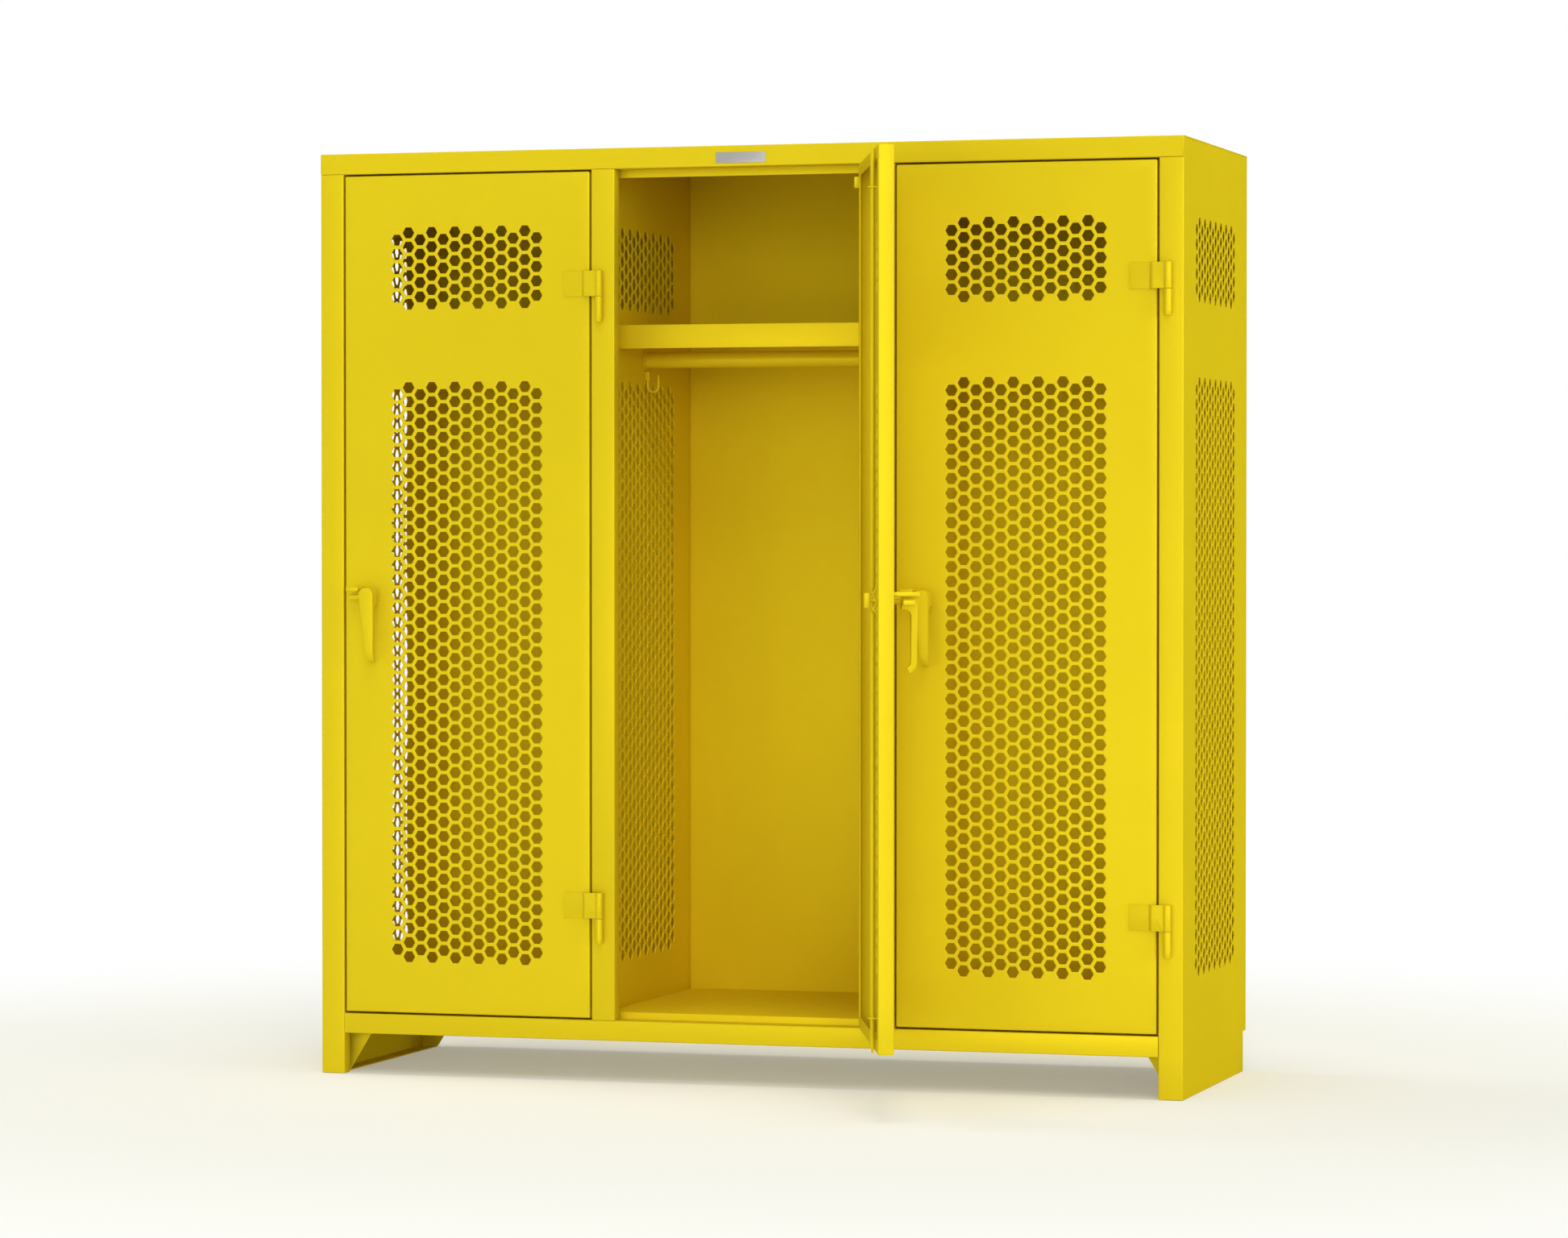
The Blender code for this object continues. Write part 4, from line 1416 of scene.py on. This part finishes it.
@dataclass
class Hinge:
    """A barrel hinge, drawn from its axis with the joint between its halves at z = 0."""

    carcass: Carcass
    radius: float = 0.0081
    length: float = 0.0545
    sides: int = 48
    edges: Span = (0.0006, 0.0008)
    taper: float = 0.0085
    taper_share: float = 0.8
    taper_edge: float = 0.0004
    taper_ring: float = 0.002
    pin_radius: float = 0.0040
    pin_length: float = 0.045
    pin_clearance: float = 0.0006
    pin_room: float = 0.001
    pad_width: float = 0.007
    pad_foot: float = 0.004
    weld_edge: float = 0.0012
    leaf_thickness: float = 0.003
    leaf_reach: float = 0.0824
    leaf_flat: float = 0.043
    leaf_joggle: float = 0.0066

    def frame_half(self) -> bpy.types.Object:
        """Model the lower knuckle with its tapered foot, its pin and the weld to the post.

        Returns:
            The knuckle.
        """
        play = self.carcass.sheet.play
        low, shoulder = -self.length, self.taper - self.length
        narrowed = (self.taper_share, self.taper_share, 1)
        ends = Vector((0, 0, low)), Vector((0, 0, -play))
        knuckle = bar("knuckle", self.radius, *ends, self.edges[0], self.sides)

        def on_shoulder(edge: bmesh.types.BMEdge) -> bool:
            """Return whether an edge is part of the ring over the taper."""
            return all(abs(vert.co.z - shoulder) < self.taper_edge for vert in edge.verts)

        with editing(knuckle):
            cut(Axis.Z, shoulder)
            cut(Axis.Z, shoulder + self.taper_ring)
            pick(knuckle, Elements.VERTS, lambda vert: vert.co.z < shoulder - self.taper_edge)
            bpy.ops.transform.resize(value=narrowed, center_override=(0, 0, low))
            pick(knuckle, Elements.EDGES, on_shoulder)
            bpy.ops.mesh.bevel(offset=self.taper_edge, segments=2, affect="EDGES")
        top = Vector((0, 0, self.pin_length))
        pin = bar("pin", self.pin_radius, Vector((0, 0, -ROOT)), top, self.weld_edge)
        across, depth = (-self.pad_width / 2, self.pad_width / 2), (0, self.carcass.hinge_stand - play)
        pad = block("pad", across, depth, (low + self.pad_foot, -2 * play), self.weld_edge)
        piece = combine(combine(knuckle, pin, Merge.UNION), pad, Merge.UNION)
        smooth(piece)
        return piece

    def door_half(self) -> bpy.types.Object:
        """Model the upper knuckle with its joggled leaf.

        Returns:
            The leaf.
        """
        play = self.carcass.sheet.play
        low = self.carcass.hinge_stand - play - self.leaf_thickness / 2
        flat_start = self.leaf_flat - self.leaf_reach
        line = [(0.0, 0.0), (flat_start + self.leaf_joggle, 0.0), (flat_start, low), (-self.leaf_reach, low)]
        leaf = folded("leaf", line, (play, self.length))
        turned_by(leaf, UPRIGHT)
        finish_strap(leaf, self.leaf_thickness)
        ends = Vector((0, 0, play)), Vector((0, 0, self.length))
        barrel = bar("barrel", self.radius, *ends, self.edges[1], self.sides)
        ends = Vector((0, 0, -PAST)), Vector((0, 0, self.pin_length + self.pin_room))
        bore = bar("bore", self.pin_radius + self.pin_clearance, *ends)
        piece = combine(combine(leaf, barrel, Merge.UNION), bore, Merge.DIFFERENCE)
        smooth(piece)
        return piece


@dataclass
class Latch:
    """Handle, hasp, link, lock rods and guides, drawn from the spindle's axis at the door's face."""

    carcass: Carcass
    block_edge: float = 0.0015
    spindle_radius: float = 0.0075
    spindle_clearance: float = 0.0007
    lever_width: float = 0.032
    lever_tip: float = 0.0127
    lever_drop: float = 0.1464
    lever_face: float = 0.0505
    lever_edge: float = 0.0018
    lever_spare: float = 0.004
    grip: float = 0.012
    arm_start: float = 0.019
    arm_drop: float = 0.0173
    fillet: float = 0.0155
    curl: float = 0.012
    tab_reach: float = 0.0445
    tab_depth: float = 0.0254
    tab_thickness: float = 0.011
    tab_drop: float = 0.007
    tab_edge: float = 0.003
    hasp_reach: float = 0.0533
    hasp_left: float = 0.0445
    hasp_near: float = 0.0178
    hasp_height: float = 0.0086
    hasp_thickness: float = 0.0089
    hasp_edge: float = 0.0016
    padlock_radius: float = 0.0054
    padlock_inset: float = 0.027
    cam_setback: float = 0.026
    cam_thickness: float = 0.0046
    cam_half: float = 0.004
    cam_wave: tuple[Point, ...] = (
        (0.0015, 0.031),
        (0.0015, 0.024),
        (0.0094, 0.0125),
        (0.0008, -0.0048),
        (0.0084, -0.0165),
        (0.0015, -0.024),
        (0.0015, -0.031),
    )
    hub_depth: Span = (0.0436, 0.0554)
    hub_size: float = 0.03
    stem_radius: float = 0.004
    rod_radius: float = 0.00475
    rod_setback: float = 0.0381
    rod_end: float = 0.0245
    rod_point: float = 0.016
    rod_edges: Span = (0.0015, 0.0006)
    rod_shares: tuple[tuple[int, float], ...] = ((0, 0.8), (3, 0.34), (4, 0.22))
    guide_width: float = 0.017
    guide_thickness: float = 0.003
    guide_edge: float = 0.0007
    guide_clearance: float = 0.0006

    @property
    def tab_level(self) -> Span:
        """Return the heights between which the lever's tab lies."""
        top = self.hasp_height - self.tab_drop
        return top - self.tab_thickness, top

    def spindle_bore(self) -> bpy.types.Object:
        """Model what the spindle's hole takes out of the door's face."""
        past = Vector((0, PAST, 0))
        return bar("bore", self.spindle_radius + self.spindle_clearance, -past, past)

    def padlock_bore(self) -> bpy.types.Object:
        """Model the upright bore for a padlock's shackle.

        Returns:
            The bore.
        """
        x, y = -self.padlock_inset, -self.arm_start - self.tab_depth / 2
        low, high = self.tab_level[0] - PAST, self.hasp_height + self.hasp_thickness + PAST
        return bar("shackle", self.padlock_radius, Vector((x, y, low)), Vector((x, y, high)))

    def lever(self) -> bpy.types.Object:
        """Model the lever with its tab and spindle.

        Returns:
            The lever.
        """
        half = self.lever_width / 2
        inner = self.lever_face - self.grip
        curl_centre = (-inner + self.curl, self.curl + self.grip - self.lever_drop)
        fillet_centre = (-inner + self.fillet, -self.arm_drop - self.fillet)
        nose = self.grip / 2
        section = [(-self.arm_start, half), (nose - self.lever_face, half)]
        section += arc((nose - self.lever_face, half - nose), nose, 90, 180, 8)[1:]
        section += arc(curl_centre, self.curl + self.grip, 180, 250, 12)
        section += arc(curl_centre, self.curl, 250, 180, 12)
        section += arc(fillet_centre, self.fillet, 180, 90, 10)
        section += [(-self.arm_start, -self.arm_drop)]
        profile = prism("lever", section, Axis.X, (-half - PAST, half + PAST))
        low = -self.lever_drop - self.lever_spare
        outline = arc((0, 0), half, 0, 180, 24) + [(half - self.lever_tip, low), (half, low)]
        front = prism("front", outline, Axis.Y, (-self.lever_face - PAST, PAST))
        piece = combine(profile, front, Merge.INTERSECT)
        soften(piece, self.lever_edge, 3, 50)
        depth = (-self.arm_start - self.tab_depth, -self.arm_start)
        tab = block("tab", (-self.tab_reach, 0), depth, self.tab_level, self.tab_edge)
        ends = Vector((0, -inner, 0)), Vector((0, self.cam_setback, 0))
        spindle = bar("spindle", self.spindle_radius, *ends)
        piece = combine(combine(piece, tab, Merge.UNION), spindle, Merge.UNION)
        combine(piece, self.padlock_bore(), Merge.DIFFERENCE)
        smooth(piece)
        return piece

    def hasp(self) -> bpy.types.Object:
        """Model the fixed plate over the handle.

        Returns:
            The plate.
        """
        depth = (-self.hasp_reach, -self.carcass.sheet.play)
        level = (self.hasp_height, self.hasp_height + self.hasp_thickness)
        plate = block("hasp", (-self.hasp_left, -self.hasp_near), depth, level, self.hasp_edge)
        piece = combine(plate, self.padlock_bore(), Merge.DIFFERENCE)
        smooth(piece)
        return piece

    def cam(self) -> bpy.types.Object:
        """Model the wavy link on the spindle's inner end with its square hub.

        Returns:
            The cam.
        """
        near = self.cam_setback + self.carcass.sheet.play + self.cam_thickness / 2
        wave = [(near + rise, height) for rise, height in self.cam_wave]
        link = folded("cam", wave, (-self.cam_half, self.cam_half))
        finish_strap(link, self.cam_thickness)
        half, start = self.hub_size / 2, self.hub_depth[0]
        stem = bar("stem", self.stem_radius, Vector((0, near, 0)), Vector((0, start + ROOT, 0)))
        hub = block("hub", (-half, half), self.hub_depth, (-half, half), self.block_edge)
        piece = combine(combine(link, stem, Merge.UNION), hub, Merge.UNION)
        smooth(piece)
        return piece

    def lock_rod(self, name: str, reach: float) -> bpy.types.Object:
        """Model a pointed lock rod, drawn from its own axis at the spindle's height.

        Args:
            name: The piece's name.
            reach: The tip's height over the spindle, below zero for the lower rod.

        Returns:
            The rod.
        """
        way = math.copysign(1, reach)
        start, end = self.rod_end, abs(reach)
        heights = (start, start + self.rod_edges[0], end - self.rod_point, end - self.rod_edges[1], end)
        points = [Vector((0, 0, way * height)) for height in heights]
        return wire(name, points, self.rod_radius, dict(self.rod_shares))

    def guide(self) -> bpy.types.Object:
        """Model a rod guide, drawn from the rod's axis.

        Returns:
            The guide.
        """
        sheet = self.carcass.sheet
        half, rise = self.guide_width / 2, self.guide_thickness / 2
        depth = (sheet.thickness + sheet.play - self.rod_setback, half)
        body = block("guide", (-half, half), depth, (-rise, rise), self.guide_edge)
        past = Vector((0, 0, PAST))
        hole = bar("hole", self.rod_radius + self.guide_clearance, -past, past)
        piece = combine(body, hole, Merge.DIFFERENCE)
        smooth(piece)
        return piece


@dataclass
class DoorLeaf:
    """A perforated door with its hinges and its latch, drawn from its hinge axis at z = 0."""

    workshop: Workshop
    hinge: Hinge
    latch: Latch
    columns: int = 13
    border: float = 0.02
    width: float = 0.5551
    hinge_edge: float = 0.0255
    hinge_shift: float = 0.0048
    bottom: float = 0.1354
    top: float = 1.9326
    depth: float = 0.0318
    lip: float = 0.0254
    lug_size: tuple[float, float, float] = (0.012, 0.0105, 0.023)
    lug_drop: float = 0.028
    lug_inset: float = 0.007
    lug_edge: float = 0.0015
    hinge_heights: Span = (0.3480, 1.6676)
    guide_heights: Span = (0.2032, 1.8517)
    spindle_height: float = 1.0328
    spindle_inset: float = 0.0653
    rod_reach: float = 0.0025

    def at_spindle(self, depth: float, height: float) -> Matrix:
        """Return the move from the spindle's line to a depth behind the door's face and a height."""
        x = self.spindle_inset - self.hinge_edge - self.width
        return Matrix.Translation((x, self.workshop.carcass.hinge_stand + depth, height))

    def pan(self) -> bpy.types.Object:
        """Model the perforated door with its lips and its security lug.

        Returns:
            The door.
        """
        sheet, face_y = self.workshop.carcass.sheet, self.workshop.carcass.hinge_stand
        middle = Vector((-self.hinge_edge - self.width / 2, 0, (self.top + self.bottom) / 2))
        half = Vector((self.width / 2, 0, (self.top - self.bottom) / 2))
        across = (middle.x - half.x + self.border, middle.x + half.x - self.border)
        up = (self.bottom + self.border, self.top - self.border)
        face = self.workshop.pattern.face("door", middle.x, self.columns, across, up)
        turned_by(face, Matrix.Translation((0, face_y + sheet.half, 0)))

        def on_border(edge: bmesh.types.BMEdge) -> bool:
            """Return whether an edge is part of the face's outline."""
            at = middle_of(edge)
            on_side = min(abs(at.x - across[0]), abs(at.x - across[1])) < NEAR
            return edge.is_boundary and (on_side or min(abs(at.z - up[0]), abs(at.z - up[1])) < NEAR)

        insets = (self.border, sheet.half, self.lip)
        with editing(face):
            pick(face, Elements.EDGES, on_border)
            for step, (now, then) in enumerate(zip(insets, insets[1:])):
                push((0, 0, 0))
                size = ((half.x - then) / (half.x - now), 1, (half.z - then) / (half.z - now))
                bpy.ops.transform.resize(value=size, center_override=middle)
                if step == 0:
                    push((0, self.depth - sheet.thickness, 0))
        sheet.finish(face)
        back = face_y + self.depth
        lug_x, lug_y, lug_z = self.lug_size
        edge, high = -self.hinge_edge - self.lug_inset, self.top - self.lug_drop
        depth, level = (back - sheet.half, back + lug_y), (high - lug_z, high)
        lug = block("lug", (edge - lug_x, edge), depth, level, self.lug_edge)
        bore = turned_by(self.latch.spindle_bore(), self.at_spindle(0, self.spindle_height))
        piece = combine(combine(face, lug, Merge.UNION), bore, Merge.DIFFERENCE)
        smooth(piece)
        return piece

    def place(self, bay: Bay) -> Matrix:
        """Return the move from a door's hinge axis to the row frame, with the door closed.

        Args:
            bay: The door's bay.

        Returns:
            The move.
        """
        carcass = self.workshop.carcass
        axis = carcass.post_centre(bay.number + 1) - self.hinge_shift
        return carcass.seat() @ Matrix.Translation((axis, -carcass.hinge_stand, 0))

    def build(self) -> None:
        """Build the three doors from one set of patterns."""
        latch, height = self.latch, self.spindle_height
        spindle, rods = self.at_spindle(0, height), self.at_spindle(latch.rod_setback, height)
        door, knuckle, leaf = self.pan(), self.hinge.frame_half(), self.hinge.door_half()
        lever, hasp, cam, guide = latch.lever(), latch.hasp(), latch.cam(), latch.guide()
        upper = latch.lock_rod("upper", self.top + self.rod_reach - height)
        lower = latch.lock_rod("lower", self.bottom - self.rod_reach - height)
        for bay in Bay:
            closed = self.place(bay)
            place = closed @ Matrix.Rotation(bay.turn, 4, "Z")
            on_door, on_handle = f"{bay.label}_door_body", f"{bay.label}_handle_body"
            pieces = [
                (door, "door_pan", place, on_door, "door"),
                (hasp, "hasp", place @ spindle, on_door, "hasp_plate"),
                (lever, "lever", place @ spindle, on_handle, "handle"),
                (cam, "cam", place @ spindle, on_handle, "latch_cam"),
            ]
            for level, hinged, guided in zip(("lower", "upper"), self.hinge_heights, self.guide_heights):
                up, seat = Matrix.Translation((0, 0, hinged)), self.at_spindle(latch.rod_setback, guided)
                pieces += [
                    (knuckle, f"{level}_knuckle", closed @ up, "locker_frame", f"{level}_hinge_pin"),
                    (leaf, f"{level}_leaf", place @ up, on_door, f"{level}_hinge_leaf"),
                    (guide, f"{level}_guide", place @ seat, on_door, f"{level}_rod_guide"),
                ]
            for level, rod in (("upper", upper), ("lower", lower)):
                body = f"{bay.label}_{level}_rod_body"
                pieces.append((rod, f"{level}_rod", place @ rods, body, f"{level}_lock_rod"))
            for pattern, name, move, body, node in pieces:
                slot = Slot.DOOR if pattern is door else Slot.HARDWARE
                piece = copied(pattern, f"{bay.label}_{name}")
                self.workshop.hand_over(piece, move, body, slot, [f"{bay.label}_{node}"])
        for spare in (door, knuckle, leaf, lever, hasp, cam, guide, upper, lower):
            bpy.data.objects.remove(spare)


@dataclass(frozen=True)
class Backdrop:
    """Pale floor that takes the shadow and turns white with distance. Near the locker, camera and glossy rays
    see a share of cream-tinted glow: painted light that lifts the locker's shadow and tints it like bounce
    from the yellow body.
    """

    size: float = 60.0
    paint: tuple[float, float, float] = (0.94, 0.935, 0.9)
    # Tint and least share of the glow near the locker: painted bounce light that lightens and tints the
    # shadow there
    painted_bounce_tint: tuple[float, float, float] = (1.0, 1.0, 0.86)
    painted_shadow_lift: float = 0.28
    fade: Span = (1.1, 3.6)

    def build(self) -> None:
        """Lay the floor."""
        bpy.ops.mesh.primitive_plane_add(size=self.size)
        ground = adopt("studio_floor")
        material = bpy.data.materials.new("pale_floor")
        material.use_nodes = True
        tree = material.node_tree
        shader, outlet = tree.nodes["Principled BSDF"], tree.nodes["Material Output"]
        shader.inputs["Base Color"].default_value = (*self.paint, 1)
        shader.inputs["Roughness"].default_value = 0.9
        shader.inputs["Specular IOR Level"].default_value = 0.0
        place = add_node(tree, "TexCoord")
        apart = add_node(tree, "VectorMath", operation="LENGTH")
        limits = {"From Min": self.fade[0], "From Max": self.fade[1]}
        far = add_node(tree, "MapRange", limits, interpolation_type="SMOOTHSTEP")
        tint = add_node(tree, "Mix", {"A": (*self.painted_bounce_tint, 1), "B": (1, 1, 1, 1)}, data_type="RGBA")
        # Glow seen by camera and glossy rays: plain white backdrop far off, and near the locker a tinted
        # share that is painted light on the shadow
        backdrop_and_bounce_glow = add_node(tree, "Emission")
        shadow_lift_share = add_node(tree, "MapRange", {"To Min": self.painted_shadow_lift})
        path = add_node(tree, "LightPath")
        seen = add_node(tree, "Math", operation="MAXIMUM")
        share = add_node(tree, "Math", operation="MULTIPLY")
        mixed = add_node(tree, "MixShader")
        connect(
            tree,
            (place, "Object", apart, 0),
            (apart, "Value", far, "Value"),
            (far, "Result", tint, "Factor"),
            (tint, "Result", backdrop_and_bounce_glow, "Color"),
            (far, "Result", shadow_lift_share, "Value"),
            (path, "Is Camera Ray", seen, 0),
            (path, "Is Glossy Ray", seen, 1),
            (shadow_lift_share, "Result", share, 0),
            (seen, "Value", share, 1),
            (share, "Value", mixed, "Fac"),
            (shader, "BSDF", mixed, 1),
            (backdrop_and_bounce_glow, "Emission", mixed, 2),
            (mixed, "Shader", outlet, "Surface"),
        )
        ground.data.materials.append(material)


@dataclass(frozen=True)
class Sun:
    """Wide, soft light that falls in evenly.

    Attributes:
        name: Its name.
        turn: Where it comes from, in degrees to the right of the front's middle.
        rise: Where it comes from, in degrees over the floor.
        strength: Its strength in watts per square metre.
        softness: How wide its source looks, in degrees.
    """

    name: str
    turn: float
    rise: float
    strength: float
    softness: float = 26.0

    def build(self) -> None:
        """Hang the sun."""
        turn = (math.radians(90 - self.rise), 0, math.radians(self.turn))
        bpy.ops.object.light_add(type="SUN", location=(0, 0, 4), rotation=turn)
        sun = bpy.context.active_object
        sun.name = self.name
        sun.data.energy = self.strength
        sun.data.angle = math.radians(self.softness)


@dataclass(frozen=True)
class Lamp:
    """Soft, low area lamp before the open bay.

    Attributes:
        place: Where it hangs.
        aim: What it points at.
        size: Its width and height.
        power: Its power in watts.
    """

    place: tuple[float, float, float] = (-0.3, -4.5, 0.6)
    aim: tuple[float, float, float] = (-0.2, 0.0, 1.0)
    size: Span = (2.5, 0.8)
    power: float = 19.0

    def build(self) -> None:
        """Hang the lamp."""
        turn = (Vector(self.aim) - Vector(self.place)).to_track_quat("-Z", "Y").to_euler()
        bpy.ops.object.light_add(type="AREA", location=self.place, rotation=turn)
        lamp = bpy.context.active_object
        lamp.name = "low_lamp"
        lamp.data.shape = "RECTANGLE"
        lamp.data.size, lamp.data.size_y = self.size
        lamp.data.energy = self.power


@dataclass
class Studio:
    """Floor, white surroundings, lamps and camera."""

    camera_place: tuple[float, float, float] = (3.2164, -10.2888, 1.1704)
    camera_tilt: float = -0.983
    camera_turn: float = 16.883
    lens: float = 117.62
    world_light: float = 0.3
    suns: tuple[Sun, ...] = (
        Sun("front_sun", 17, 8, 0.69),
        Sun("high_sun", 22, 45, 0.58),
        Sun("right_sun", 73, 8, 0.98),
        Sun("left_sun", -95, 38, 0.46),
        Sun("top_sun", 0, 87, 1.0),
    )

    def world(self) -> None:
        """Light the room evenly, and show the camera a white background."""
        world = bpy.data.worlds.new("white_room")
        bpy.context.scene.world = world
        world.use_nodes = True
        world.cycles.sampling_method = "NONE"
        tree = world.node_tree
        light, outlet = tree.nodes["Background"], tree.nodes["World Output"]
        light.inputs["Color"].default_value = (1, 1, 1, 1)
        light.inputs["Strength"].default_value = self.world_light
        white = add_node(tree, "Background", {"Color": (1, 1, 1, 1)})
        path = add_node(tree, "LightPath")
        mirrored = add_node(tree, "Math", operation="MAXIMUM")
        seen = add_node(tree, "Math", operation="MAXIMUM")
        mixed = add_node(tree, "MixShader")
        connect(
            tree,
            (path, "Is Glossy Ray", mirrored, 0),
            (path, "Is Transmission Ray", mirrored, 1),
            (path, "Is Camera Ray", seen, 0),
            (mirrored, "Value", seen, 1),
            (seen, "Value", mixed, "Fac"),
            (light, "Background", mixed, 1),
            (white, "Background", mixed, 2),
            (mixed, "Shader", outlet, "Surface"),
        )

    def camera(self, front: float) -> None:
        """Set the camera at the photograph's angle.

        Args:
            front: The y of the front faces.
        """
        x, y, z = self.camera_place
        tilt, turn = math.radians(90 + self.camera_tilt), math.radians(self.camera_turn)
        bpy.ops.object.camera_add(location=(x, y + front, z), rotation=(tilt, 0, turn))
        camera = bpy.context.active_object
        camera.data.lens = self.lens
        camera.data.clip_end = 200
        bpy.context.scene.camera = camera

    def build(self, front: float) -> None:
        """Set up the studio.

        Args:
            front: The y of the front faces.
        """
        Backdrop().build()
        self.world()
        for sun in self.suns:
            sun.build()
        Lamp().build()
        self.camera(front)
        bpy.context.scene.view_settings.view_transform = "Standard"


def main() -> None:
    """Build the locker and its studio."""
    logging.basicConfig(level=logging.INFO, format="%(name)s: %(message)s")
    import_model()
    bpy.ops.object.select_all(action="DESELECT")
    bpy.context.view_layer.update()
    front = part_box("top_panel")[0].y
    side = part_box("right_side_panel")[1].x
    carcass = Carcass(front, side)
    workshop = Workshop(carcass, Finishes.build())
    Shell(workshop).build()
    Fittings(workshop).build()
    DoorLeaf(workshop, Hinge(carcass), Latch(carcass)).build()
    Studio().build(front)


if __name__ == "__main__":
    main()
